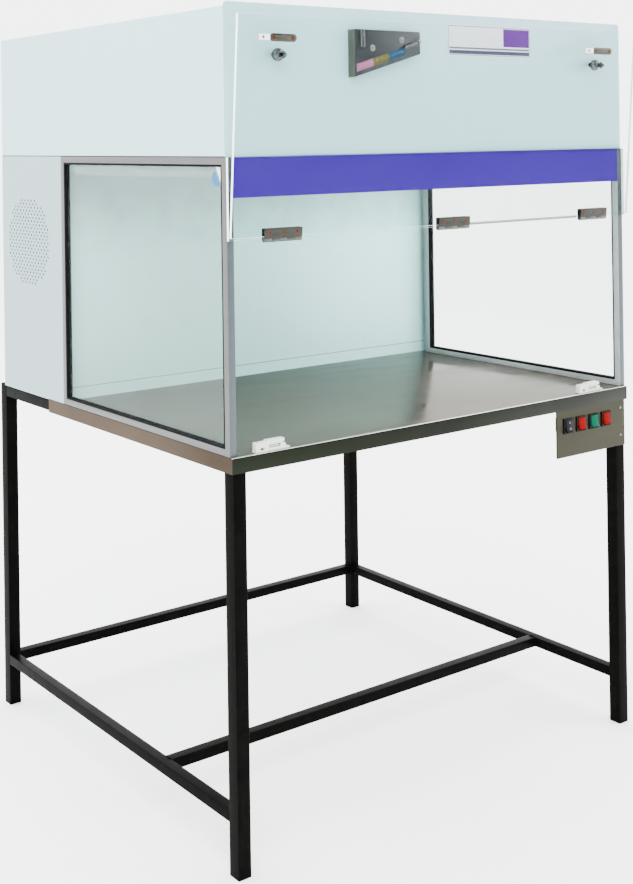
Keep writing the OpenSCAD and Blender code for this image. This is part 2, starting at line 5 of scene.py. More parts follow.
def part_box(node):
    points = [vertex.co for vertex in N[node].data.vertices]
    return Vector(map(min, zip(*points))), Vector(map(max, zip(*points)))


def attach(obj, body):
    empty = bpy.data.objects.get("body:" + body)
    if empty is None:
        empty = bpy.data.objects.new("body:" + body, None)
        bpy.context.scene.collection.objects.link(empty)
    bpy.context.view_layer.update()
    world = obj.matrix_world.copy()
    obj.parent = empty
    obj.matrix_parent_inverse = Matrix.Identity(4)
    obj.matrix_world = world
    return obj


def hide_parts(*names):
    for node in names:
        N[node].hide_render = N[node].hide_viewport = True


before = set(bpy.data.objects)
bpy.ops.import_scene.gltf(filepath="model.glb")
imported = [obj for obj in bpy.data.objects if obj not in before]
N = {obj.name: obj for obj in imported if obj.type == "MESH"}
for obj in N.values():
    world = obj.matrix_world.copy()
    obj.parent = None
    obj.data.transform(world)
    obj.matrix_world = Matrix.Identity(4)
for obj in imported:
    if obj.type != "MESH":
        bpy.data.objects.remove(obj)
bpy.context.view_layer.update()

SCENE = bpy.context.scene
Y0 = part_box("leg_front_left")[0].y  # front face of the legs
TABLE_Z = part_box("work_table")[1].z
CEIL_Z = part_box("head_shell")[0].z
random.seed(7)


def P(x, y, z):
    """A point from millimetres: x across, y behind the legs' front face, z above the floor."""
    return Vector((x / 1000, Y0 + y / 1000, z / 1000))


# ---- node tools ----

def new_mat(name):
    m = bpy.data.materials.new(name)
    m.use_nodes = True
    nt = m.node_tree
    nt.nodes.clear()
    out = nt.nodes.new("ShaderNodeOutputMaterial")
    return m, nt, out


def nd(nt, kind, ins=None, **props):
    n = nt.nodes.new("ShaderNode" + kind)
    for k, v in props.items():
        setattr(n, k, v)
    for k, v in (ins or {}).items():
        s = n.inputs[k]
        if isinstance(v, bpy.types.NodeSocket):
            nt.links.new(v, s)
        else:
            s.default_value = v
    return n


def obj_co(nt, scale=(1, 1, 1), rot=(0, 0, 0), loc=(0, 0, 0)):
    t = nd(nt, "TexCoord")
    return nd(nt, "Mapping", {"Vector": t.outputs["Object"], "Scale": scale, "Rotation": rot,
                              "Location": loc}).outputs["Vector"]


def noise(nt, scale, detail=3, rough=0.5, co=None, distort=0.0):
    co = obj_co(nt) if co is None else co
    return nd(nt, "TexNoise", {"Vector": co, "Scale": scale, "Detail": detail, "Roughness": rough,
                               "Distortion": distort}).outputs["Fac"]


def ramp(nt, fac, a, b, lo=0.0, hi=1.0, smooth=False):
    return nd(nt, "MapRange", {"Value": fac, "From Min": a, "From Max": b, "To Min": lo, "To Max": hi},
              clamp=True, interpolation_type="SMOOTHSTEP" if smooth else "LINEAR").outputs["Result"]


def mathn(nt, op, a, b=0.0, clamp=False):
    return nd(nt, "Math", {0: a, 1: b}, operation=op, use_clamp=clamp).outputs[0]


def mixc(nt, fac, a, b):
    n = nd(nt, "Mix", {}, data_type="RGBA", blend_type="MIX")
    for key, v in (("Factor_Float", fac), ("A_Color", a), ("B_Color", b)):
        s = next(i for i in n.inputs if i.identifier == key)
        if isinstance(v, bpy.types.NodeSocket):
            nt.links.new(v, s)
        else:
            s.default_value = (*v, 1.0) if hasattr(v, "__len__") and len(v) == 3 else v
    return next(o for o in n.outputs if o.identifier == "Result_Color")


def bump(nt, height, strength, dist, prev=None):
    ins = {"Height": height, "Strength": strength, "Distance": dist}
    if prev is not None:
        ins["Normal"] = prev
    return nd(nt, "Bump", ins).outputs["Normal"]


def surface(nt, out, colour, rough, more):
    """The principled shader of a material."""
    b = nd(nt, "BsdfPrincipled", {"Base Color": colour, "Roughness": rough, **more})
    nt.links.new(b.outputs[0], out.inputs["Surface"])


def srgb(r, g, b):
    """Display values of 0 to 255, or linear ones when all are 1 or less."""
    if max(r, g, b) <= 1:
        return r, g, b

    def f(c):
        c /= 255
        return c / 12.92 if c <= 0.04045 else ((c + 0.055) / 1.055) ** 2.4
    return f(r), f(g), f(b)


def shade(c, k):
    return tuple(min(1.0, v * k) for v in c)


def coat(name, rgb, rough=0.38, vary=0.025, peel=0.10, spec=0.5, painted_top_shade=None):
    """Powder coat or enamel: fine orange peel, broad slight tone changes and wiped patches."""
    m, nt, out = new_mat(name)
    c = srgb(*rgb)
    big = noise(nt, 2.3, 4, 0.55)
    mid = noise(nt, 14, 5, 0.6)
    fine = noise(nt, 700, 2, 0.5)
    col = mixc(nt, ramp(nt, big, 0.3, 0.7), shade(c, 1 - vary), shade(c, 1 + vary))
    col = mixc(nt, ramp(nt, mid, 0.56, 0.75, 0, 0.35), col, shade(c, 0.95))
    if painted_top_shade is not None:  # painted shade: darker towards the top, with lighter specks
        z = nd(nt, "SeparateXYZ", {0: obj_co(nt)}).outputs["Z"]
        t = ramp(nt, mathn(nt, "ADD", z, ramp(nt, mid, 0.3, 0.7, -0.03, 0.03)), painted_top_shade[0], painted_top_shade[1], 0, 1, True)
        col = mixc(nt, t, col, tuple(v * k for v, k in zip(c, painted_top_shade[2])))
        speck = ramp(nt, noise(nt, 260, 4, 0.75), 0.63, 0.70, 0, 0.5)
        col = mixc(nt, mathn(nt, "MULTIPLY", t, speck), col, shade(c, 1.25))
    rg = mathn(nt, "ADD", ramp(nt, mid, 0.3, 0.7, rough - 0.05, rough + 0.06),
               ramp(nt, fine, 0.3, 0.7, -0.02, 0.02))
    nm = bump(nt, noise(nt, 420, 2, 0.5), peel, 0.0004)
    nm = bump(nt, big, 0.15, 0.004, nm)
    surface(nt, out, col, rg, {"Normal": nm, "Specular IOR Level": spec})
    return m


def stainless(name, rgb, rough=0.24, grain=(6, 260, 260), tint2=None, aniso=0.35, smear=0.10, slant=1.0,
              metallic=1.0):
    """Brushed sheet: drawn grain, wiped smears and a slow waviness that bends reflections."""
    m, nt, out = new_mat(name)
    c = srgb(*rgb)
    line = noise(nt, 1.0, 4, 0.65, obj_co(nt, grain))
    broad = noise(nt, 5.0, 4, 0.6)
    smears = noise(nt, 1.0, 4, 0.6, obj_co(nt, (3.5, 11, 11)))
    col = mixc(nt, ramp(nt, line, 0.35, 0.65), shade(c, 0.94), shade(c, 1.05))
    col = mixc(nt, ramp(nt, broad, 0.42, 0.7, 0, 0.6), col, tint2 or shade(c, 0.90))
    rg = mathn(nt, "ADD", ramp(nt, smears, 0.35, 0.7, rough - 0.03, rough + smear),
               ramp(nt, line, 0.35, 0.65, -0.03, 0.03))
    nm = bump(nt, line, 0.10, 0.0003)
    nm = bump(nt, noise(nt, 3.0, 2, 0.4), 0.10, 0.012, nm)
    surface(nt, out, col, rg, {"Metallic": metallic, "Normal": nm, "Anisotropic": aniso,
                               "Specular Tint": (slant, slant, slant, 1)})
    return m


def metal(name, rgb, rough=0.3, vary=0.12, scratch=0.12, metallic=1.0, spot=None):
    """Plain sheet, cast or plated metal with scratches and tone changes."""
    m, nt, out = new_mat(name)
    c = srgb(*rgb)
    mid = noise(nt, 45, 5, 0.65)
    sc = noise(nt, 1.0, 3, 0.7, obj_co(nt, (900, 900, 60), (0.3, 0.2, 0.1)))
    col = mixc(nt, ramp(nt, mid, 0.32, 0.68), shade(c, 1 - vary), shade(c, 1 + vary))
    if spot is not None:
        col = mixc(nt, ramp(nt, noise(nt, 180, 4, 0.7), 0.58, 0.72, 0, 0.8), col, srgb(*spot))
    rg = mathn(nt, "ADD", ramp(nt, mid, 0.3, 0.7, rough - 0.05, rough + 0.09),
               ramp(nt, sc, 0.4, 0.7, 0, scratch))
    nm = bump(nt, sc, 0.08, 0.0003)
    surface(nt, out, col, rg, {"Metallic": metallic, "Normal": nm})
    return m


def plastic(name, rgb, rough=0.35, vary=0.05, grain=0.10, scale=900, spec=0.5):
    """Moulded plastic or rubber: fine grain, flow-like tone changes, duller patches."""
    m, nt, out = new_mat(name)
    c = srgb(*rgb)
    mid = noise(nt, 30, 4, 0.6, None, 0.6)
    col = mixc(nt, ramp(nt, mid, 0.3, 0.7), shade(c, 1 - vary), shade(c, 1 + vary))
    rg = ramp(nt, noise(nt, 60, 4, 0.6), 0.3, 0.7, rough - 0.05, rough + 0.08)
    nm = bump(nt, noise(nt, scale, 3, 0.6), grain, 0.0003)
    surface(nt, out, col, rg, {"Normal": nm, "Specular IOR Level": spec})
    return m


def clear(name, tint, haze_rgb, haze=0.04, more=0.05, f0=0.04, rough=0.03, size=4.0, gloss=0.8):
    """A clear sheet: what is behind it shows through, with a faint wiped haze and more gloss at a slant."""
    m, nt, out = new_mat(name)
    tr = nd(nt, "BsdfTransparent", {"Color": (*tint, 1)})
    wipe = noise(nt, 1.0, 5, 0.6, obj_co(nt, (size, size, size * 2.2), (0, 0.5, 0)))
    hz = ramp(nt, wipe, 0.35, 0.75, haze, haze + more)
    rg = ramp(nt, wipe, 0.3, 0.7, rough, rough + 0.05)
    film = nd(nt, "BsdfPrincipled", {"Base Color": (*srgb(*haze_rgb), 1), "Roughness": 0.6,
                                     "Specular IOR Level": 0.1})
    gl = nd(nt, "BsdfPrincipled", {"Base Color": (0.98, 1.0, 1.0, 1), "Metallic": 1.0, "Roughness": rg})
    face = nd(nt, "LayerWeight", {"Blend": 0.5}).outputs["Facing"]
    fr = mathn(nt, "MULTIPLY", mathn(nt, "ADD", mathn(nt, "POWER", face, 5.0), f0), gloss, clamp=True)
    s = nd(nt, "MixShader", {0: hz, 1: tr.outputs[0], 2: film.outputs[0]})
    s = nd(nt, "MixShader", {0: fr, 1: s.outputs[0], 2: gl.outputs[0]})
    nt.links.new(s.outputs[0], out.inputs["Surface"])
    return m


def paint_black(name):
    """Brushed black enamel on steel tube, with chips on its edges where the face attribute 'edge' is 1."""
    m, nt, out = new_mat(name)
    mid = noise(nt, 22, 5, 0.6)
    brush = noise(nt, 1.0, 3, 0.6, obj_co(nt, (160, 160, 14)))
    col = mixc(nt, ramp(nt, mid, 0.3, 0.7), (0.0006, 0.0006, 0.0005), (0.0018, 0.0017, 0.0014))
    dust = noise(nt, 90, 5, 0.7)
    col = mixc(nt, ramp(nt, dust, 0.60, 0.80, 0, 0.5), col, (0.016, 0.014, 0.011))
    edge = nd(nt, "Attribute", attribute_name="edge").outputs["Fac"]
    chip = mathn(nt, "MULTIPLY", edge, ramp(nt, noise(nt, 130, 5, 0.72), 0.655, 0.70), clamp=True)
    spots = ramp(nt, noise(nt, 210, 3, 0.6, obj_co(nt, (1, 1, 1), (0, 0, 0), (3, 5, 7))), 0.735, 0.76)
    bare = mathn(nt, "MAXIMUM", chip, spots, clamp=True)
    col = mixc(nt, bare, col, (0.045, 0.040, 0.033))
    rg = mathn(nt, "ADD", ramp(nt, mid, 0.3, 0.7, 0.34, 0.48), mathn(nt, "MULTIPLY", bare, 0.15))
    nm = bump(nt, brush, 0.16, 0.0006)
    nm = bump(nt, noise(nt, 320, 3, 0.6), 0.14, 0.0004, nm)
    nm = bump(nt, bare, -0.35, 0.0004, nm)
    surface(nt, out, col, rg, {"Normal": nm, "Specular IOR Level": 0.011})
    return m


def glow_glass(name, rgb, rough=0.18):
    """A lamp tube: milky glass with a glossy coat."""
    m, nt, out = new_mat(name)
    c = srgb(*rgb)
    v = noise(nt, 35, 3, 0.5)
    col = mixc(nt, ramp(nt, v, 0.3, 0.7), shade(c, 0.96), c)
    surface(nt, out, col, rough, {"Coat Weight": 0.6, "Coat Roughness": 0.05,
                                  "Normal": bump(nt, noise(nt, 500, 2), 0.03, 0.0002)})
    return m


M = {
    "black": paint_black("black_enamel"),
    # one stainless sheet in lit and shaded copies: the top, darker copies for the side aprons and the front
    # apron as painted shade
    "table": stainless("table_stainless", (0.25, 0.225, 0.195), 0.15, slant=0.3, metallic=0.85),
    "apron": stainless("apron_stainless_shaded", (0.036, 0.0265, 0.019), 0.32, (300, 5, 300),
                       (0.026, 0.021, 0.017), slant=0.6),
    "front": stainless("front_stainless_shaded", (0.0102, 0.0122, 0.0082), 0.30, (5, 300, 300),
                       (0.0062, 0.0068, 0.0052)),
    "panel": stainless("panel_stainless", (0.020, 0.0192, 0.0115), 0.30, (8, 300, 300)),
    "white": coat("white_coat", (0.32, 0.52, 0.54), 0.36, spec=0.4),
    # the side and rear panels take a darker copy of the head's white coat: painted shade
    "case": coat("case_coat_shaded", (0.225, 0.315, 0.325), 0.36, spec=0.3),
    "front_w": coat("front_coat", (0.22, 0.375, 0.41), 0.36, spec=0.3),
    # the inner wall is darker towards its top: painted shade
    "wall": coat("wall_coat", (0.325, 0.58, 0.56), 0.30, spec=0.3, painted_top_shade=(1.20, 1.42, (0.55, 0.50, 0.50))),
    "violet": coat("violet_coat", (0.019, 0.0012, 0.137), 0.40, 0.03, spec=0.02),
    # the window bars' inner faces: a lighter copy of the bar aluminium, painted light
    "bar_in": metal("bar_inner_lit_copy", (0.27, 0.285, 0.285), 0.38, 0.10, 0.14, 0.4),
    # painted highlight: a light copy of the table steel for its rounded front bend
    "rim": metal("rim_steel_painted_highlight", (0.55, 0.56, 0.53), 0.30, 0.2, 0.2),
    # painted highlight: a lighter copy of the hinge steel for the knuckles
    "knuckle": metal("knuckle_steel_highlight", (0.075, 0.076, 0.070), 0.3, 0.14, 0.1),
    "bar": metal("bar_aluminium", (0.080, 0.081, 0.078), 0.38, 0.10, 0.14, 0.6),
    "post": metal("post_film", (0.026, 0.038, 0.042), 0.30, 0.12, 0.14, 0.3),
    "wood": plastic("filter_wood", (176, 178, 178), 0.5),
    "paper": plastic("filter_paper", (240, 240, 234), 0.8, 0.03, 0.3, 1500),
    "foam": plastic("intake_foam", (0.0035, 0.0038, 0.0040), 0.9, 0.1, 0.5, 1200, 0.1),
    "grille": coat("diffuser_coat", (207, 214, 212), 0.4),
    "galv": metal("galvanised", (176, 181, 182), 0.42, 0.10, 0.1, 0.9, (150, 156, 160)),
    "motor": coat("motor_paint", (58, 62, 66), 0.45, 0.05),
    "rotor": metal("rotor_steel", (150, 154, 156), 0.4),
    "gland": plastic("gland_plastic", (22, 22, 24), 0.42, spec=0.3),
    "lamp": glow_glass("lamp_glass", (244, 246, 246)),
    "uv": glow_glass("uv_glass", (222, 232, 242), 0.1),
    "glass": clear("window_glass", (0.945, 0.968, 0.958), (214, 228, 224), 0.006, 0.012, 0.04, 0.02,
                   gloss=0.3),
    "sheet": clear("clear_acrylic", (0.965, 0.982, 0.980), (222, 234, 236), 0.0002, 0.002, 0.03, 0.03,
                   gloss=0.05),
    # painted glow and highlight for the clear sheets' cut edges: the side edges and the top and bottom rims
    "sheet_edge_glow": plastic("acrylic_edge_glow", (240, 250, 250), 0.25, 0.02, 0.05, spec=0.2),
    "sheet_rim_glow": plastic("acrylic_rim_glow", (240, 250, 250), 0.25, 0.02, 0.05, spec=0.2),
    "holder": plastic("holder_plastic", (238, 238, 235), 0.4),
    "gasket": plastic("gasket_rubber", (0.0024, 0.0027, 0.0030), 0.7, 0.1, 0.05, 300, 0.04),
    "hinge": metal("hinge_steel", (0.030, 0.031, 0.027), 0.34, 0.14, 0.12, 1.0, (0.018, 0.016, 0.012)),
    "pin": metal("pin_steel", (0.042, 0.042, 0.040), 0.3),
    "chrome": metal("knob_chrome", (0.070, 0.073, 0.074), 0.10, 0.04, 0.05),
    "strike": metal("strike_steel", (0.046, 0.046, 0.037), 0.24, 0.10, 0.08, 1.0),
    "strip": plastic("strip_white", (0.62, 0.63, 0.62), 0.4),
    "copper": metal("rivet_copper", (0.072, 0.022, 0.013), 0.32, 0.15, 0.1),
    "catch": plastic("catch_white", (0.50, 0.50, 0.47), 0.35, 0.03, spec=0.2),
    "switch": plastic("switch_black", (0.0022, 0.0023, 0.0025), 0.35, spec=0.06),
    "r_black": plastic("rocker_black", (0.0042, 0.0042, 0.0052), 0.28, spec=0.10),
    "r_red": plastic("rocker_red", (0.115, 0.0002, 0.0004), 0.20, 0.06, spec=0.035),
    "r_green": plastic("rocker_green", (0.0002, 0.055, 0.029), 0.20, 0.06, spec=0.04),
    "mark": plastic("rocker_mark", (0.19, 0.18, 0.19), 0.35),
    "gauge": metal("gauge_dark", (0.0092, 0.0112, 0.0128), 0.30, 0.10, 0.10, 0.7),
    "flange": metal("flange_steel", (0.125, 0.108, 0.082), 0.3, 0.1),
    "gauge_clear": clear("gauge_tube", (0.97, 0.98, 0.98), (230, 236, 236), 0.008, 0.012, 0.015, 0.02,
                         30, 0.35),
    "pink": plastic("scale_pink", (0.165, 0.055, 0.105), 0.5, 0.03, spec=0.05),
    "yellow": plastic("scale_yellow", (0.052, 0.047, 0.007), 0.5, 0.03, spec=0.05),
    "blue": plastic("scale_blue", (0.0015, 0.025, 0.056), 0.5, 0.03, spec=0.05),
    "label": plastic("label_plate", (0.37, 0.385, 0.42), 0.3, 0.02, 0.04),
    "label_grey": plastic("label_grey", (0.062, 0.065, 0.074), 0.35, 0.03, 0.05, spec=0.05),
    "label_purple": plastic("label_purple", (0.050, 0.0055, 0.112), 0.35, 0.03, 0.05, spec=0.05),
    "label_navy": plastic("label_navy", (0.022, 0.028, 0.052), 0.35, 0.03, 0.05, spec=0.05),
    "screw": metal("screw_steel", (0.140, 0.142, 0.138), 0.28, 0.08),
    "tape": clear("clear_tape", (0.93, 0.94, 0.94), (236, 238, 238), 0.02, 0.05, 0.015, 0.1, 40, 0.3),
    # painted light and tone for the fixed sheet's lower edge seen through the sheet
    "band": plastic("acrylic_band_painted", (0.17, 0.195, 0.19), 0.4, 0.06, spec=0.2),
    "sticker": plastic("sticker_blue", (0.02, 0.11, 0.27), 0.5, 0.06, spec=0.1),
    "sticker_w": plastic("sticker_white", (222, 228, 232), 0.4, 0.02),
    # dark joints and marks, and painted shade in slots, recesses, holes and shadow lines
    "dark": plastic("dark_shade_joints_marks", (16, 17, 17), 0.6, spec=0.1),
}


def painted_edge_glow(m, bright, dull, x0, x1):
    """The polished edge of a clear sheet as a painted glow and highlight: bright at the left, turning
    grey-green towards the right.
    """
    nt = m.node_tree
    b = nt.nodes["Principled BSDF"].inputs
    x = nd(nt, "SeparateXYZ", {0: obj_co(nt)}).outputs["X"]
    t = ramp(nt, mathn(nt, "ADD", x, ramp(nt, noise(nt, 9, 3), 0.3, 0.7, -0.08, 0.08)), x0, x1, 0, 1, True)
    nt.links.new(mixc(nt, t, bright, dull), b["Base Color"])
    b["Emission Color"].default_value = (0.93, 1.0, 0.99, 1)
    nt.links.new(mathn(nt, "SUBTRACT", 0.5, mathn(nt, "MULTIPLY", t, 0.5)), b["Emission Strength"])


def painted_light_rearwards(m, y0, y1, k0, k1):
    """Painted light: a side sheet whose tone rises towards the rear, as in the photo."""
    nt = m.node_tree
    b = nt.nodes["Principled BSDF"].inputs["Base Color"]
    k = ramp(nt, nd(nt, "SeparateXYZ", {0: obj_co(nt)}).outputs["Y"], y0, y1, k0, k1, True)
    nt.links.new(nd(nt, "VectorMath", {0: b.links[0].from_socket, 3: k}, operation="SCALE").outputs[0], b)


painted_light_rearwards(M["apron"], Y0 + 0.04, Y0 + 0.26, 1.12, 1.85)
painted_edge_glow(M["sheet_edge_glow"], (0.85, 0.95, 0.94), (0.60, 0.72, 0.70), 0.3, 0.6)
painted_edge_glow(M["sheet_rim_glow"], (0.62, 0.72, 0.71), (0.085, 0.125, 0.115), -0.15, 0.20)

# ---- mesh tools ----

def finish_mesh(name, bm, mats, body, smooth=32, replaces=()):
    bmesh.ops.recalc_face_normals(bm, faces=bm.faces)
    me = bpy.data.meshes.new(name)
    bm.to_mesh(me)
    bm.free()
    for m in mats:
        me.materials.append(m)
    me.polygons.foreach_set("use_smooth", [True] * len(me.polygons))
    me.set_sharp_from_angle(angle=math.radians(smooth))
    ob = bpy.data.objects.new(name, me)
    SCENE.collection.objects.link(ob)
    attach(ob, body)
    if replaces:
        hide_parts(*replaces)
    return ob


def from_node(bm, node, weld=2e-6):
    """Adds a copy of a CAD node's mesh, welded and with its flat faces joined."""
    part = bmesh.new()
    part.from_mesh(N[node].data)
    bmesh.ops.remove_doubles(part, verts=part.verts, dist=weld)
    bmesh.ops.dissolve_limit(part, angle_limit=math.radians(0.6), verts=part.verts, edges=part.edges,
                             use_dissolve_boundaries=False, delimit=set())
    me = bpy.data.meshes.new("t")
    part.to_mesh(me)
    part.free()
    bm.from_mesh(me)
    bpy.data.meshes.remove(me)


def bevel_sharp(bm, width, segs=2, angle=25):
    """Rounds the sharp edges and marks the new faces with the attribute 'edge'."""
    lay = bm.faces.layers.float.get("edge") or bm.faces.layers.float.new("edge")
    limit = math.radians(angle)
    es = [e for e in bm.edges if len(e.link_faces) == 2 and e.calc_face_angle(0) > limit]
    r = bmesh.ops.bevel(bm, geom=es, offset=width, segments=segs, profile=0.6, affect="EDGES",
                        clamp_overlap=True, harden_normals=False)
    for f in r["faces"]:
        f[lay] = 1.0


def rounded(name, nodes, width, mat, body="cabinet", segs=2, angle=25, smooth=32):
    """A piece with rounded edges that stands for CAD nodes of the same shape."""
    bm = bmesh.new()
    for n in nodes:
        from_node(bm, n)
    bevel_sharp(bm, width, segs, angle)
    return finish_mesh(name, bm, [mat], body, smooth, replaces=nodes)


def round_edges(bm, edges, r, segs, mat):
    q = bmesh.ops.bevel(bm, geom=list(edges), offset=r, segments=segs, profile=0.6, affect="EDGES",
                        clamp_overlap=True)
    for f in q["faces"]:
        f.material_index = mat
    return q["faces"]


def box(bm, lo, hi, r=0.0, segs=2, mat=0, mx=None):
    """A box between two corners with rounded edges."""
    lo, hi = Vector(lo), Vector(hi)
    g = bmesh.ops.create_cube(bm, size=1.0)
    vs = g["verts"]
    for v in vs:
        v.co = Vector((lo[i] + (v.co[i] + 0.5) * (hi[i] - lo[i]) for i in range(3)))
    fs = {f for v in vs for f in v.link_faces}
    for f in fs:
        f.material_index = mat
    if r > 0:
        new = round_edges(bm, {e for v in vs for e in v.link_edges}, r, segs, mat)
        fs = set(new) | {f for f in fs if f.is_valid}
    if mx is not None:
        bmesh.ops.transform(bm, matrix=mx, verts=list({v for f in fs if f.is_valid for v in f.verts}))


def axis_frame(origin, axis):
    z = Vector(axis).normalized()
    return Matrix.Translation(origin) @ z.to_track_quat("Z", "Y").to_matrix().to_4x4()


def lathe(bm, origin, axis, prof, n=32, mat=0, caps=True):
    """Turns a profile of (radius, height) round an axis."""
    mx = axis_frame(origin, axis)
    turns = [2 * math.pi * k / n for k in range(n)]
    rings = []
    for r, h in prof:
        if r < 1e-7:
            rings.append([bm.verts.new(mx @ Vector((0, 0, h)))])
        else:
            rings.append([bm.verts.new(mx @ Vector((r * math.cos(a), r * math.sin(a), h))) for a in turns])
    for a, b in zip(rings, rings[1:]):
        for k in range(n):
            p = [a[k % len(a)], a[(k + 1) % len(a)], b[(k + 1) % len(b)], b[k % len(b)]]
            q = []
            for v in p:
                if v not in q:
                    q.append(v)
            if len(q) > 2:
                bm.faces.new(q).material_index = mat
    if caps:
        for ring in (rings[0], rings[-1]):
            if len(ring) > 2:
                bm.faces.new(ring).material_index = mat


def sweep(bm, pts, r, n=12, mat=0, closed_ends=True):
    """A round bar along a line of points."""
    pts = [Vector(p) for p in pts]
    turns = [2 * math.pi * k / n for k in range(n)]
    rings, side = [], None
    for i, p in enumerate(pts):
        t = (pts[min(i + 1, len(pts) - 1)] - pts[max(i - 1, 0)]).normalized()
        if side is None:
            side = t.orthogonal().normalized()
        side = (side - t * side.dot(t)).normalized()
        up = t.cross(side)
        rr = r[i] if hasattr(r, "__len__") else r
        rings.append([bm.verts.new(p + (side * math.cos(a) + up * math.sin(a)) * rr) for a in turns])
    for a, b in zip(rings, rings[1:]):
        for k in range(n):
            bm.faces.new([a[k], a[(k + 1) % n], b[(k + 1) % n], b[k]]).material_index = mat
    if closed_ends:
        bm.faces.new(list(reversed(rings[0]))).material_index = mat
        bm.faces.new(rings[-1]).material_index = mat


def prism(bm, pts, depth, mat=0, r=0.0, segs=2):
    """A flat outline of world points pushed along a vector, with rounded edges."""
    a = [bm.verts.new(p) for p in pts]
    b = [bm.verts.new(Vector(p) + Vector(depth)) for p in pts]
    fs = [bm.faces.new(a), bm.faces.new(list(reversed(b)))]
    n = len(pts)
    for k in range(n):
        fs.append(bm.faces.new([a[k], b[k], b[(k + 1) % n], a[(k + 1) % n]]))
    for f in fs:
        f.material_index = mat
    if r > 0:
        round_edges(bm, {e for f in fs for e in f.edges}, r, segs, mat)


def screw(bm, at, axis, r=0.0035, h=0.0018, mat=0, dark=1, turn=0.5):
    """A pan-head screw with a cross recess; the recess is drawn in a dark material as painted shade."""
    prof = [(r, 0), (r, h * 0.3), (r * 0.92, h * 0.65), (r * 0.7, h * 0.92), (r * 0.45, h), (0, h)]
    lathe(bm, at, axis, prof, 20, mat)
    mx = axis_frame(at, axis) @ Matrix.Rotation(turn, 4, "Z")
    for k in (0, 1):
        box(bm, (-r * 0.55, -r * 0.11, h * 0.7), (r * 0.55, r * 0.11, h * 1.03), 0, 1, dark,
            mx @ Matrix.Rotation(k * math.pi / 2, 4, "Z"))


# ---- CAD nodes and their finishes ----

def dress(node, mat):
    o = N[node]
    for s in o.material_slots:
        s.material = mat
    if not o.material_slots:
        o.data.materials.append(mat)


for names, key in (
    (("side_panel_left", "side_panel_right", "rear_panel"), "case"), (("head_shell",), "white"),
    (("back_wall", "back_skirt"), "wall"), (("valance",), "violet"), (("ceiling_pan", "floor_pan"), "white"),
    (("filter_frame",), "wood"), (("filter_pack",), "paper"), (("intake_filter",), "foam"),
    (("diffuser",), "grille"),
    (("blower_housing", "ballast_box"), "galv"), (("blower_motor",), "motor"), (("blower_wheel",), "rotor"),
    (("cable_gland",), "gland"), (("light_tube",), "lamp"), (("germicidal_tube",), "uv"),
    (("tube_holders",), "holder"), (("gasket_left", "gasket_right"), "gasket"),
    (("glass_left", "glass_right"), "glass"),
    (("fixed_panel", "door_sheet"), "sheet"), (("panel_rivets", "door_rivets"), "copper"),
    (("hinge_upper_leaves", "hinge_door_leaves"), "hinge"), (("hinge_pins",), "pin"),
    (("door_knobs",), "chrome"), (("strike_plates",), "strike"), (("catches",), "catch"),
    (("switch_bodies",), "switch"), (("rocker_1",), "r_black"),
    (("rocker_2", "rocker_4"), "r_red"), (("rocker_3",), "r_green"), (("gauge_plate",), "gauge"),
    (("gauge_glass",), "gauge_clear"), (("label_plate",), "label"), (("switch_panel",), "panel"),
    (("work_table",), "table"), (("window_frame_left", "window_frame_right"), "bar"),
    (("head_front_panel",), "front_w"),
):
    for n in names:
        dress(n, M[key])

# ---- stand ----

LEGS = ["leg_front_left", "leg_front_right", "leg_rear_left", "leg_rear_right"]
FRAME_TUBES = ["frame_front", "frame_rear", "frame_left", "frame_right"]
RAILS = ["rail_left", "rail_right", "rail_rear", "rail_middle"]
for n in LEGS + FRAME_TUBES + RAILS:
    rounded(n + "_tube", [n], 0.0022, M["black"], segs=3)


def weld_bead(bm, a, b, r=0.0028):
    """An uneven weld bead between two points."""
    a, b = Vector(a), Vector(b)
    n = max(8, int((b - a).length / 0.0022))
    ph = random.random() * 6
    pts, rr = [], []
    for i in range(n + 1):
        t = i / n
        pts.append(a.lerp(b, t) + Vector((0, 0, 0.0003 * math.sin(9 * t + ph))))
        end = min(1.0, 0.35 + 4 * min(t, 1 - t))
        rr.append(r * end * (0.9 + 0.22 * abs(math.sin(i * 0.85 + ph)) + 0.1 * random.random()))
    sweep(bm, pts, rr, 8)


def welds():
    bm = bmesh.new()
    for n in LEGS:
        lo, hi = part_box(n)
        sx = 1 if lo.x < 0 else -1
        sy = 1 if "front" in n else -1
        inx, iny = (hi.x if sx > 0 else lo.x), (hi.y if sy > 0 else lo.y)
        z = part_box("frame_front")[0].z
        weld_bead(bm, (inx, lo.y + 0.002, z), (inx, hi.y - 0.002, z), 0.0024)
        weld_bead(bm, (lo.x + 0.002, iny, z), (hi.x - 0.002, iny, z), 0.0024)
        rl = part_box("rail_left" if sx > 0 else "rail_right")
        for z in (rl[0].z, rl[1].z):
            weld_bead(bm, (rl[0].x + 0.002, iny, z), (rl[1].x - 0.002, iny, z))
        xin = rl[1].x if sx > 0 else rl[0].x
        weld_bead(bm, (xin, iny, rl[0].z), (xin, iny, rl[1].z))
        if sy < 0:
            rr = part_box("rail_rear")
            for z in (rr[0].z, rr[1].z):
                weld_bead(bm, (inx, rr[0].y + 0.002, z), (inx, rr[1].y - 0.002, z))
            weld_bead(bm, (inx, rr[0].y, rr[0].z), (inx, rr[0].y, rr[1].z))
    rm, rl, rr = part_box("rail_middle"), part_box("rail_left"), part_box("rail_right")
    for x in (rl[1].x, rr[0].x):
        for z in (rm[0].z, rm[1].z):
            weld_bead(bm, (x, rm[0].y + 0.002, z), (x, rm[1].y - 0.002, z))
        for y in (rm[0].y, rm[1].y):
            weld_bead(bm, (x, y, rm[0].z), (x, y, rm[1].z))
    ob = finish_mesh("weld_beads", bm, [M["black"]], "cabinet", 60)


welds()

# ---- folded sheet forms ----

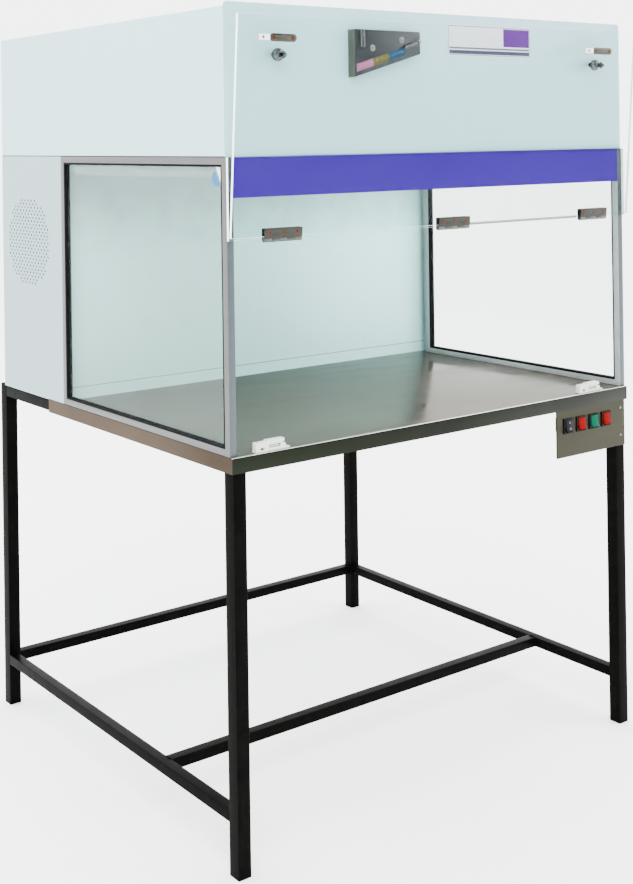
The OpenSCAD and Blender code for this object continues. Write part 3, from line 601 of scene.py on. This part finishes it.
def folded(name, lo, hi, open_sides, r, t, mats, pick, replaces):
    """A folded box of thin sheet: rounded outside, open on the named sides, with its own thickness inward."""
    bm = bmesh.new()
    box(bm, lo, hi)
    bm.normal_update()

    def is_open(f):
        n = f.normal
        return any(n["xyz".index(s[1])] * (1 if s[0] == "+" else -1) > 0.9 for s in open_sides)

    es = [e for e in bm.edges if not any(is_open(f) for f in e.link_faces)]
    bmesh.ops.bevel(bm, geom=es, offset=r, segments=4, profile=0.5, affect="EDGES", clamp_overlap=True)
    bm.normal_update()
    bmesh.ops.delete(bm, geom=[f for f in bm.faces if is_open(f)], context="FACES_ONLY")
    for f in bm.faces:
        f.material_index = pick(f.normal)
    me = bpy.data.meshes.new("t")
    bm.to_mesh(me)
    bm.free()
    ob = bpy.data.objects.new("t", me)
    SCENE.collection.objects.link(ob)
    for m in mats:
        me.materials.append(m)
    so = ob.modifiers.new("s", "SOLIDIFY")
    so.thickness, so.offset, so.use_even_offset, so.use_quality_normals = t, -1.0, True, True
    dg = bpy.context.evaluated_depsgraph_get()
    me2 = bpy.data.meshes.new_from_object(ob.evaluated_get(dg))
    bpy.data.objects.remove(ob)
    bm = bmesh.new()
    bm.from_mesh(me2)
    return finish_mesh(name, bm, mats, "cabinet", 40, replaces=replaces)


SHEET = 0.0012  # thickness of the folded sheets
BEND_R = 0.0018  # outer radius of the table's bends


def table_top():
    lo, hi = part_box("work_table")
    # each face takes a copy by its direction: top, shaded side aprons, shaded front apron, and the front bend
    # as a painted highlight
    mats = [M["table"], M["apron"], M["front"], M["rim"]]
    folded("table_sheet", lo, hi, ("-z", "+y"), BEND_R, SHEET, mats,
           lambda n: 3 if n.y < -0.15 and n.z > 0.25 else (2 if n.y < -0.6 else (1 if abs(n.x) > 0.6 else 0)),
           replaces=["work_table"])
    bm = bmesh.new()  # painted shadow lines where the front apron meets the side ones
    for x in (lo.x, hi.x):
        s = 1 if x < 0 else -1
        a, b = sorted((x + s * 0.0004, x + s * 0.0026))
        box(bm, (a, lo.y - 0.00005, lo.z + 0.0004), (b, lo.y + 0.0006, hi.z - 0.0015), 0)
        a, b = sorted((x + s * 0.00005, x + s * 0.0012))  # and a painted shadow line under the window's frame
        box(bm, (a, lo.y + 0.006, hi.z - 0.0019), (b, hi.y - 0.002, hi.z - 0.0001), 0)
    ob = finish_mesh("apron_shadow_lines", bm, [M["dark"]], "cabinet")


table_top()


def head():
    lo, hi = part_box("head_shell")
    folded("head_cover", (lo.x, lo.y, lo.z + 0.0024), hi, ("-z", "-y"), 0.0022, SHEET, [M["white"]],
           lambda n: 0, replaces=["head_shell"])
    bm = bmesh.new()  # the dark joint between the head and the case below
    for s in (-1, 1):
        a, b = sorted((s * (hi.x - 0.0008), s * (hi.x - 0.0014)))
        box(bm, (a, lo.y, lo.z - 0.0003), (b, hi.y - 0.0005, lo.z + 0.0030), 0)
    box(bm, (lo.x + 0.001, hi.y - 0.0014, lo.z - 0.0003), (hi.x - 0.001, hi.y - 0.0008, lo.z + 0.0030), 0)
    ob = finish_mesh("head_joint", bm, [M["dark"]], "cabinet")
    rounded("head_front_sheet", ["head_front_panel"], 0.0007, M["front_w"], segs=2)


head()

# ---- window frames, gaskets and posts ----

def window_frame(side):
    bm = bmesh.new()
    from_node(bm, "window_frame_" + side)
    bevel_sharp(bm, 0.0009, 2)
    bm.normal_update()
    inward = 1 if side == "left" else -1
    # inward faces take the lighter copy of the bar's colour as painted light; front faces near the front take
    # the film
    for f in bm.faces:
        f.material_index = (1 if f.normal.y < -0.75 and f.calc_center_median().y < Y0 + 0.004
                            else (2 if f.normal.x * inward > 0.5 else 0))
    finish_mesh("window_frame_" + side + "_bar", bm, [M["bar"], M["post"], M["bar_in"]], "cabinet",
                replaces=["window_frame_" + side])
    rounded("gasket_" + side + "_lip", ["gasket_" + side], 0.0007, M["gasket"], segs=2)
    bm = bmesh.new()
    s = -1 if side == "left" else 1
    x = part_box("window_frame_" + side)[0 if s < 0 else 1].x - s * 0.0013
    for y, z in ((13, 1473), (-1 + 9, 874), (700, 1474), (700, 874)):
        screw(bm, (x, Y0 + y / 1000, z / 1000), (s, 0, 0), 0.0034, 0.0012, 0, 1, 0.4 + y)
    ob = finish_mesh("frame_screws_" + side, bm, [M["screw"], M["dark"]], "cabinet")


for side in ("left", "right"):
    window_frame(side)

# ---- door and fixed panel ----

LEAN = math.radians(4.2)
PIVOT = P(0, -10, 1308)


def D(x, y, z):
    """A point on the raised door, in millimetres from its pivot: y towards the head, z to the free edge."""
    return Vector((x / 1000, PIVOT.y + (y * math.cos(LEAN) - z * math.sin(LEAN)) / 1000,
                   PIVOT.z + (y * math.sin(LEAN) + z * math.cos(LEAN)) / 1000))


DOOR_MX = Matrix.Translation(PIVOT) @ Matrix.Rotation(LEAN, 4, "X") @ Matrix.Scale(0.001, 4)
DOOR_N = Vector((0, math.cos(LEAN), math.sin(LEAN)))


def clear_edges(name, node, body):
    """A clear sheet whose narrow faces take the painted glow and highlight of a bright cut edge."""
    bm = bmesh.new()
    from_node(bm, node)
    bm.normal_update()
    lo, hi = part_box(node)
    face_n = DOOR_N if body == "door" else Vector((0, 1, 0))
    for f in bm.faces:
        c = f.calc_center_median()
        side = c.x < lo.x + 0.002 or c.x > hi.x - 0.002
        rim = c.z > hi.z - 0.004 or c.z < lo.z + 0.004
        if abs(f.normal.dot(face_n)) < 0.5 and (side or rim):
            f.material_index = 1 if side else 2
    finish_mesh(name, bm, [M["sheet"], M["sheet_edge_glow"], M["sheet_rim_glow"]], body, 20, replaces=[node])


clear_edges("door_clear", "door_sheet", "door")
clear_edges("fixed_clear", "fixed_panel", "cabinet")


def edge_band_painted():
    """A painted band on the sheet's face: the polished lower edge, as it shows through the sheet between the
    middle and the right hinge.
    """
    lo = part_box("fixed_panel")[0]
    bm = bmesh.new()
    box(bm, (0.060, lo.y - 0.00006, lo.z + 0.0002), (0.444, lo.y - 0.00001, lo.z + 0.0062), 0)
    ob = finish_mesh("edge_band_painted", bm, [M["band"]], "cabinet")


edge_band_painted()


def door_box(bm, lo, hi, r=0.0, segs=2, mat=0):
    box(bm, lo, hi, r, segs, mat, DOOR_MX)


def eyelet(bm, at, axis, r=0.0047, h=0.0005, mat=0, dark=1):
    """The rolled head of a small tubular rivet; its hole is drawn in a dark material as painted shade."""
    prof = [(r, 0), (r, h * 0.5), (r * 0.86, h * 0.9), (r * 0.62, h), (r * 0.42, h * 0.8),
            (r * 0.38, h * 0.2)]
    lathe(bm, at, axis, prof, 20, mat, caps=False)
    lathe(bm, at, axis, [(r * 0.38, h * 0.2), (0, h * 0.15)], 20, dark, caps=False)


HINGE_X = (-496, 5, 497)
STRIKE_X = (-513, 503)
KNOB_X = (-506, 508)
CATCH_X = (-521, 495)
STRIKE_Z = 420  # from the pivot, along the door
KNOB_Z = 385
UPPER_RIVET_Z = 1323  # above the floor
HINGE_RIVETS = (-36, 0, 36)  # from the middle of a hinge


def rivets():
    bm = bmesh.new()
    for x in HINGE_X:
        for dx in HINGE_RIVETS:
            eyelet(bm, P(x + dx, -7, UPPER_RIVET_Z), (0, -1, 0))
            lathe(bm, P(x + dx, -5, UPPER_RIVET_Z), (0, -1, 0), [(0.0016, 0), (0.0016, 0.0018)], 12)
    for z in (814, 744):
        screw(bm, P(604, -4.8, z), (0, -1, 0), 0.0034, 0.0011, 2, 1, z)
    finish_mesh("fixed_rivets", bm, [M["copper"], M["dark"], M["screw"]], "cabinet",
                replaces=["panel_rivets"])
    bm = bmesh.new()
    for x in HINGE_X:
        for dx in HINGE_RIVETS:
            eyelet(bm, D(x + dx, -5, 15), -DOOR_N)
            lathe(bm, D(x + dx, 3, 15), -DOOR_N, [(0.0016, 0), (0.0016, 0.0079)], 12)
    for x in STRIKE_X:
        for dx in (-25, 25):
            eyelet(bm, D(x + dx, -5, STRIKE_Z), -DOOR_N)
            lathe(bm, D(x + dx, 3, STRIKE_Z), -DOOR_N, [(0.0016, 0), (0.0016, 0.0079)], 12)
    finish_mesh("door_eyelets", bm, [M["copper"], M["dark"]], "door", replaces=["door_rivets"])


rivets()


def hinge(name, node, body):
    """Leaves with rounded edges; the rolled knuckles round the pin take a lighter copy of the hinge steel, a
    painted highlight.
    """
    bm = bmesh.new()
    from_node(bm, node)
    bevel_sharp(bm, 0.00035, 2, 40)
    for f in bm.faces:
        f.material_index = 1 if f.calc_center_median().z < 1.3118 else 0
    finish_mesh(name, bm, [M["hinge"], M["knuckle"]], body, replaces=[node])


hinge("hinge_leaves_upper", "hinge_upper_leaves", "cabinet")
hinge("hinge_leaves_door", "hinge_door_leaves", "door")
rounded("strike_plates_steel", ["strike_plates"], 0.0005, M["strike"], "door", segs=2, angle=40)


def in_metres(prof):
    return [(r / 1000, h / 1000) for r, h in prof]


def knobs():
    bm = bmesh.new()
    turned = in_metres(((0, 0), (8, 0), (8, 1.4), (7.2, 2.1), (5.9, 2.9), (5.5, 4.2), (5.5, 9.6), (6.2, 11),
                        (8.8, 12.2), (12.2, 13.4), (13.5, 14.6), (14, 16), (14, 20.6), (13.6, 22.2),
                        (12.4, 23.6), (10.5, 24.2), (7.2, 25.4), (6.4, 26.2)))
    buffer = in_metres(((6.4, 26.2), (6, 27), (6, 34), (5.4, 35), (0, 35)))
    cap_nut = in_metres(((4, 0), (4, 1.8), (3.6, 2.9), (2.4, 3.7), (0, 4)))
    for x in KNOB_X:
        lathe(bm, D(x, 3, KNOB_Z), DOOR_N, turned, 48, 0, caps=False)
        lathe(bm, D(x, 3, KNOB_Z), DOOR_N, buffer, 40, 1, caps=False)
        lathe(bm, D(x, -3, KNOB_Z), -DOOR_N, cap_nut, 24, 0, caps=False)
        lathe(bm, D(x, -3, KNOB_Z), DOOR_N, [(0.0025, 0), (0.0025, 0.006)], 16, 0)
    finish_mesh("knobs_turned", bm, [M["chrome"], M["switch"]], "door", 35, replaces=["door_knobs"])


knobs()


def keeper_strips():
    """The white strip beside each strike plate, held by one screw."""
    bm = bmesh.new()
    for x in STRIKE_X:
        door_box(bm, (x - 63, -4.6, STRIKE_Z - 6), (x - 34.5, -3.0, STRIKE_Z + 6), 0.5, 2, 0)
        screw(bm, D(x - 52, -4.6, STRIKE_Z), -DOOR_N, 0.0032, 0.0012, 1, 2, x)
    ob = finish_mesh("keeper_strips", bm, [M["strip"], M["screw"], M["dark"]], "door")


keeper_strips()

# ---- catches ----

TABLE_TOP = 867  # the table's top above the floor, in millimetres


def catches():
    bm = bmesh.new()
    from_node(bm, "catches")
    bevel_sharp(bm, 0.0008, 2)
    screw_head = [(0.0026, 0), (0.0026, 0.0004), (0.0021, 0.0008), (0, 0.001)]
    for x in CATCH_X:  # the steel bar of the magnet, deep in its slot, and a small box beside it, drawn dark as painted shade
        box(bm, P(x - 8, 1.0, TABLE_TOP + 7.4), P(x + 20, 5.8, TABLE_TOP + 12.6), 0.0004, 1, 2)
        box(bm, P(x - 6, 0.6, TABLE_TOP + 8.6), P(x + 18, 1.1, TABLE_TOP + 11.4), 0.0002, 1, 1)
        box(bm, P(x - 32, 2.5, TABLE_TOP + 4.4), P(x - 23, 3.8, TABLE_TOP + 8.6), 0.0002, 1, 2)
        lathe(bm, P(x - 36, 5, TABLE_TOP + 21), (0, 0, 1), screw_head, 16, 1)
    finish_mesh("catch_bodies", bm, [M["catch"], M["galv"], M["dark"]], "cabinet", 40, replaces=["catches"])


catches()

# ---- switch panel ----

SWITCH_X, SWITCH_PITCH, SWITCH_Z = 402, 47.8, 793.5  # first switch, step to the next, height
PANEL_Y = -4.8  # front face of the switch panel
ROCKER_AXIS = 2  # depth of a rocker's pivot behind that face
ROCKER_TILT = -9  # degrees at rest


def switches():
    rounded("switch_plate", ["switch_panel"], 0.0003, M["panel"], segs=1, angle=60, smooth=20)
    rounded("switch_cases", ["switch_bodies"], 0.0006, M["switch"], segs=2, angle=40)
    tilt = math.radians(ROCKER_TILT)
    for i, key in enumerate(("r_black", "r_red", "r_green", "r_red")):
        node = f"rocker_{i + 1}"
        bm = bmesh.new()
        from_node(bm, node)
        bevel_sharp(bm, 0.0007, 2, 20)
        c = P(SWITCH_X + SWITCH_PITCH * i, PANEL_Y + ROCKER_AXIS, SWITCH_Z)
        mx = Matrix.Translation(c) @ Matrix.Rotation(tilt, 4, "X") @ Matrix.Scale(0.001, 4)
        if i == 0:  # a bar and a ring, as on any rocker switch
            box(bm, (-0.7, -8.62, 4.6), (0.7, -7.9, 9.2), 0.1, 1, 1, mx)
            ring = []
            for k in range(16):
                a = 2 * math.pi * k / 16
                z = -7.4 + 2.2 * math.sin(a)
                y = -7 - 2 * (abs(z) / 14) - 0.06
                ring.append(mx @ Vector((2.2 * math.cos(a), y, z)))
            sweep(bm, ring + [ring[0]], 0.00045, 8, 1, False)
        finish_mesh(f"rocker_{i + 1}_cap", bm, [M[key], M["mark"]], node, 35, replaces=[node])


switches()

# ---- gauge and label ----

GX, GY = (-295, -99), -18  # the gauge plate's ends and its front face
GAUGE_Z, GAUGE_RISE = 1650, 55  # its lower edge: height at the left, and rise
GAUGE_FIELDS = ((-290, -241), (-240, -196), (-195, -147))
FIELD_LOW, FIELD_HIGH, FIELD_T = 10, 27, 0.9  # colour fields above that edge, and thickness
COIL_TURNS, COIL_STEPS = 6, 14


def g_edge(x):
    return GAUGE_Z + GAUGE_RISE * (x - GX[0]) / (GX[1] - GX[0])


def gauge():
    bm = bmesh.new()
    from_node(bm, "gauge_plate")
    bevel_sharp(bm, 0.0006, 2)
    bm.normal_update()
    for f in bm.faces:
        if f.normal.x < -0.6 and f.calc_center_median().x < -0.294:
            f.material_index = 1
    finish_mesh("gauge_bracket", bm, [M["gauge"], M["flange"]], "cabinet", replaces=["gauge_plate"])
    bm = bmesh.new()
    ang = math.atan2(GAUGE_RISE, GX[1] - GX[0])
    cs, sn = math.cos(ang), math.sin(ang)
    for k, (a, b) in enumerate(GAUGE_FIELDS):
        pts = [P(a, GY, g_edge(a) + FIELD_LOW), P(b, GY, g_edge(b) + FIELD_LOW),
               P(b, GY, g_edge(b) + FIELD_HIGH), P(a, GY, g_edge(a) + FIELD_HIGH)]
        prism(bm, pts, (0, -FIELD_T / 1000, 0), k, 0.0002, 1)
        for j in range(5):  # plain division marks
            x = a + 6 + j * (b - a - 12) / 4
            low, high = g_edge(x) + 12, g_edge(x) + 16
            pts = [P(x - 0.5, GY - FIELD_T, low), P(x + 0.5, GY - FIELD_T, low),
                   P(x + 0.5, GY - FIELD_T, high), P(x - 0.5, GY - FIELD_T, high)]
            prism(bm, pts, (0, -0.0002, 0), 3)
    for x, z in ((-243, 1715), (-156, 1735)):
        screw(bm, P(x, GY, z), (0, -1, 0), 0.0052, 0.0032, 4, 5, x)
        lathe(bm, P(x, GY, z), (0, -1, 0), [(0.0072, 0), (0.0072, 0.0008), (0.0052, 0.0010)], 24, 4,
              caps=False)
    pts = []  # the coiled fitting at the high end
    a, b = P(-151, GY - 6, g_edge(-151) + 27), P(-106, GY - 6, g_edge(-106) + 29)
    ax = (b - a).normalized()
    u = Vector((0, -1, 0))
    v = ax.cross(u)
    for k in range(COIL_TURNS * COIL_STEPS + 1):
        t = k / (COIL_TURNS * COIL_STEPS)
        w = 2 * math.pi * COIL_TURNS * t
        pts.append(a.lerp(b, 0.12 + 0.62 * t) + (u * math.cos(w) + v * math.sin(w)) * 0.0036)
    sweep(bm, pts, 0.0009, 6, 4)
    sweep(bm, [a.lerp(b, t) for t in (0, 0.3, 0.7, 1)], 0.0022, 12, 4)
    lathe(bm, b, ax, [(0.0045, -0.006), (0.0045, 0), (0.003, 0.002), (0, 0.002)], 16, 4)
    for x in (-278.5, -269.5):  # clips of the reservoir
        lathe(bm, P(x, GY - 4, 1716), (0, 0, 1), [(0.0012, 0), (0.0012, 0.036)], 8, 4)
    mats = [M["pink"], M["yellow"], M["blue"], M["dark"], M["screw"], M["switch"]]
    ob = finish_mesh("gauge_details", bm, mats, "cabinet", 35)
    bm = bmesh.new()  # the glass: inclined tube and upright reservoir
    p0 = P(-288, GY - 3, GAUGE_Z + 22)
    p1 = p0 + Vector((cs, 0, sn)) * 0.140
    sweep(bm, [p0.lerp(p1, t / 6) for t in range(7)], 0.0029, 16)
    reservoir = [(0.002, 0), (0.0038, 0.002), (0.0038, 0.036), (0.003, 0.039), (0, 0.039)]
    lathe(bm, P(-274, GY - 4, 1715), (0, 0, 1), reservoir, 20)
    finish_mesh("gauge_tubes", bm, [M["gauge_clear"]], "cabinet", 40, replaces=["gauge_glass"])


gauge()


def label():
    """A bare rating plate: a bordered white plate with three plain colour fields and no lettering."""
    bm = bmesh.new()
    x0, x1, z0, z1, y = 9, 293, 1705, 1780, 4
    r = 6

    def plate(a, b, c, d, ya, yb, rr, mat):
        pts = []
        corners = ((b - rr, d - rr, 0), (a + rr, d - rr, 90), (a + rr, c + rr, 180), (b - rr, c + rr, 270))
        for cx, cz, a0 in corners:
            for k in range(7):
                t = math.radians(a0 + 15 * k)
                pts.append(P(cx + rr * math.cos(t), ya, cz + rr * math.sin(t)))
        prism(bm, pts, (0, (yb - ya) / 1000, 0), mat)

    plate(x0, x1, z0, z1, y, y - 0.7, r, 0)
    plate(x0 + 3, x1 - 3, z0 + 3, z1 - 3, y - 0.7, y - 0.8, r - 2, 1)
    plate(x0 + 4.5, x1 - 4.5, z0 + 4.5, z1 - 4.5, y - 0.8, y - 0.9, r - 3, 0)
    # plain fields: a purple block at the right, a navy foot strip and a grey bar between them
    for pts, mat in (
        (((196, 1731), (287, 1731), (287, 1774), (196, 1774)), 2),
        (((15, 1711), (287, 1711), (287, 1720), (15, 1720)), 3),
        (((15, 1723), (287, 1723), (287, 1727), (15, 1727)), 1),
    ):
        prism(bm, [P(px, y - 0.9, pz) for px, pz in pts], (0, -0.0001, 0), mat)
    mats = [M["label"], M["label_grey"], M["label_purple"], M["label_navy"]]
    finish_mesh("label_blank", bm, mats, "cabinet", replaces=["label_plate"])


label()

# ---- inner wall, seams, tape and screws ----

def wall_details():
    bm = bmesh.new()  # the joint between the wall and its skirt
    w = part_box("back_wall")
    y, z = w[0].y, w[0].z
    box(bm, (w[0].x + 0.001, y - 0.0003, z - 0.0007), (w[1].x - 0.001, y + 0.0002, z + 0.0005), 0)
    ob = finish_mesh("wall_joints", bm, [M["dark"]], "cabinet")
    bm = bmesh.new()
    lo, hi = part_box("rear_panel")

    def rear_screw(x, y, z, turn):
        screw(bm, (x, y, z), (0, 1, 0), 0.0042, 0.0022, 0, 1, turn)

    for k in range(6):
        x = lo.x + 0.02 + k * (hi.x - lo.x - 0.04) / 5
        for zz in (lo.z + 0.018, hi.z - 0.018):
            rear_screw(x, hi.y, zz, k)
    for zz in (lo.z + 0.21, lo.z + 0.40):
        for x in (lo.x + 0.02, hi.x - 0.02):
            rear_screw(x, hi.y, zz, zz)
    hlo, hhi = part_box("head_shell")
    rivet = [(0.0046, 0), (0.0044, 0.0004), (0.003, 0.0006), (0, 0.0006)]
    for k in range(6):
        x = hlo.x + 0.04 + k * (hhi.x - hlo.x - 0.08) / 5
        rear_screw(x, hhi.y, hlo.z + 0.03, k + 0.3)
    for k in range(4):
        for y in (hlo.y + 0.05, hhi.y - 0.05):
            x = hlo.x + 0.06 + k * (hhi.x - hlo.x - 0.12) / 3
            lathe(bm, (x, y, hhi.z - 0.0006), (0, 0, 1), rivet, 20, 0)
    ob = finish_mesh("case_screws", bm, [M["screw"], M["dark"]], "cabinet")
    bm = bmesh.new()  # side seam between the window frame and the rear case
    for s in (-1, 1):
        a, b = sorted((s * 0.6292, s * 0.62995))
        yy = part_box("side_panel_left")[0].y
        box(bm, (a, yy - 0.0006, TABLE_Z + 0.001), (b, yy + 0.0006, CEIL_Z - 0.001), 0)
    ob = finish_mesh("case_seams", bm, [M["dark"]], "cabinet")


wall_details()


INTAKE_Y, INTAKE_Z = 0.888, 1.260  # centre of the intake field
HALF_PITCH = 0.008875  # half the upright pitch of its staggered holes
FIELD_R = 0.12  # clears the outermost holes
WIDEN = 0.0006  # added to each hole's radius


def intake_side():
    """The left side panel with its perforations; their walls are in shadow."""
    bm = bmesh.new()
    from_node(bm, "side_panel_left")
    cy, cz, half = Y0 + INTAKE_Y, INTAKE_Z, HALF_PITCH
    for v in bm.verts:
        dy, dz = v.co.y - cy, v.co.z - cz
        if math.hypot(dy, dz) > FIELD_R:
            continue
        i, j = dy / half, dz / half
        a, b = round((i + j) / 2), round((i - j) / 2)
        hy, hz = cy + (a + b) * half, cz + (a - b) * half
        d = Vector((0, v.co.y - hy, v.co.z - hz))
        if 0.001 < d.length < 0.0028:
            v.co += d.normalized() * WIDEN
    bm.normal_update()
    for f in bm.faces:
        c = f.calc_center_median()
        if abs(f.normal.x) < 0.5 and math.hypot(c.y - cy, c.z - cz) < FIELD_R:
            f.material_index = 1
    finish_mesh("side_sheet_left", bm, [M["case"], M["foam"]], "cabinet", 20, replaces=["side_panel_left"])


intake_side()


# strips of tape on the left window: ends behind the legs' front, lower and upper edge, and thickness
TAPES = ((24, 640, 1439, 1457, 0.10), (60, 330, 1437, 1453, 0.16), (330, 648, 1436, 1455, 0.22))
TAPE_STEPS = 26
STICKER_SHIFT = 0.008  # moves the sticker's outline rearwards


def tapes():
    """The strips of clear tape and the small blue corner sticker on the left window."""
    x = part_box("glass_left")[0].x
    bm = bmesh.new()
    for y0, y1, z0, z1, d in TAPES:
        pts, n = [], TAPE_STEPS
        for k in range(n + 1):
            pts.append((y0 + (y1 - y0) * k / n, z0 + 0.5 * math.sin(k * 1.3 + y0)))
        for k in range(n, -1, -1):
            pts.append((y0 + (y1 - y0) * k / n, z1 + 0.5 * math.sin(k * 0.9 + y1)))
        prism(bm, [Vector((x, Y0 + py / 1000, pz / 1000)) for py, pz in pts], (-d / 1000, 0, 0))
    ob = finish_mesh("window_tape", bm, [M["tape"]], "cabinet")
    bm = bmesh.new()

    def leaf(pts, d0, d1, mat):
        at = [Vector((x - d0 / 1000, Y0 + py / 1000 + STICKER_SHIFT, pz / 1000)) for py, pz in pts]
        prism(bm, at, (-(d1 - d0) / 1000, 0, 0), mat)

    white = [(22, 1461), (40, 1461), (32, 1448), (26, 1436), (22, 1424)]
    leaf(white, 0.24, 0.4, 1)
    blue = [(44, 1452), (50, 1448), (53, 1440), (52, 1431), (46, 1424), (37, 1421), (26, 1421), (31, 1432),
            (37, 1443)]
    leaf(blue, 0.24, 0.4, 0)
    ob = finish_mesh("corner_sticker", bm, [M["sticker"], M["sticker_w"]], "cabinet")


tapes()

# ---- floor, light and camera ----

def stage_and_light():
    bm = bmesh.new()
    s = 60.0
    vs = [bm.verts.new((x, y, 0)) for x, y in ((-s, -s), (s, -s), (s, s), (-s, s))]
    bm.faces.new(vs)
    me = bpy.data.meshes.new("floor")
    bm.to_mesh(me)
    bm.free()
    m, nt, out = new_mat("floor_white")
    v = noise(nt, 0.6, 3)
    col = mixc(nt, ramp(nt, v, 0.3, 0.7), (0.90, 0.90, 0.90), (0.93, 0.93, 0.93))
    surface(nt, out, col, 0.9, {"Specular IOR Level": 0.1})
    me.materials.append(m)
    fl = bpy.data.objects.new("floor", me)
    SCENE.collection.objects.link(fl)
    w = bpy.data.worlds.new("studio")
    SCENE.world = w
    w.use_nodes = True
    bg = w.node_tree.nodes["Background"]
    bg.inputs[0].default_value = (0.975, 0.99, 1.0, 1)
    way = nd(w.node_tree, "SeparateXYZ", {0: nd(w.node_tree, "TexCoord").outputs["Generated"]}).outputs["Y"]
    up = way.node.outputs["Z"]
    glow = mathn(w.node_tree, "ADD", ramp(w.node_tree, way, -0.45, 0.50, 1.5, 5.4, True),
                 ramp(w.node_tree, up, 0.15, 0.9, 0, 3.2, True))
    w.node_tree.links.new(glow, bg.inputs[1])

    def lamp(name, at, to, size, power, col=(1, 1, 1), seen=True):
        d = bpy.data.lights.new(name, "AREA")
        d.shape = "RECTANGLE"
        d.size, d.size_y = size
        d.energy = power
        d.color = col
        o = bpy.data.objects.new(name, d)
        SCENE.collection.objects.link(o)
        o.location = at
        o.rotation_euler = (Vector(to) - Vector(at)).to_track_quat("-Z", "Y").to_euler()
        o.visible_camera = o.visible_glossy = seen

    lamp("key", (-3.6, -4.2, 4.6), (0, 0, 1.2), (4.0, 3.0), 620)
    lamp("fill", (4.2, -3.4, 3.2), (0, 0, 1.1), (3.0, 3.0), 260)
    lamp("zone", P(540, 250, 1180), P(250, 736, 1150), (0.4, 0.5), 7, (0.96, 1.0, 1.0), False)
    lamp("back", (0.5, 4.8, 4.4), (0, 0, 1.3), (4.0, 2.4), 200)


# The camera fitted to the photo. The optical centre was held at a chosen value in that fit, because the
# photo settles it only loosely.
PHOTO_H = 884  # height of the photo in pixels
PHOTO_MID = (316.5, 442)  # middle of the photo
OPTICAL = (208, 137)  # optical centre, in the photo's pixels
FOCAL = 1308.17  # focal length in pixels
SENSOR = 36.0  # in millimetres, for the photo's height
YAW, PITCH, ROLL = 0.6075, 0.0025, -0.0137  # radians
EYE = (-2.185658, -2.687642, 1.516587)  # where it stands, in metres


def camera():
    fwd = Vector((math.sin(YAW) * math.cos(PITCH), math.cos(YAW) * math.cos(PITCH), math.sin(PITCH)))
    right = Vector((math.cos(YAW), -math.sin(YAW), 0))
    up = right.cross(fwd)
    r = right * math.cos(ROLL) + up * math.sin(ROLL)
    u = -right * math.sin(ROLL) + up * math.cos(ROLL)
    d = bpy.data.cameras.new("camera")
    d.sensor_width = SENSOR
    d.lens = FOCAL / PHOTO_H * SENSOR
    d.shift_x = (PHOTO_MID[0] - OPTICAL[0]) / PHOTO_H
    d.shift_y = (OPTICAL[1] - PHOTO_MID[1]) / PHOTO_H
    d.clip_start, d.clip_end = 0.05, 200
    o = bpy.data.objects.new("camera", d)
    SCENE.collection.objects.link(o)
    o.matrix_world = Matrix(((r.x, u.x, -fwd.x, EYE[0]), (r.y, u.y, -fwd.y, EYE[1]),
                             (r.z, u.z, -fwd.z, EYE[2]), (0, 0, 0, 1)))
    SCENE.camera = o


stage_and_light()
camera()
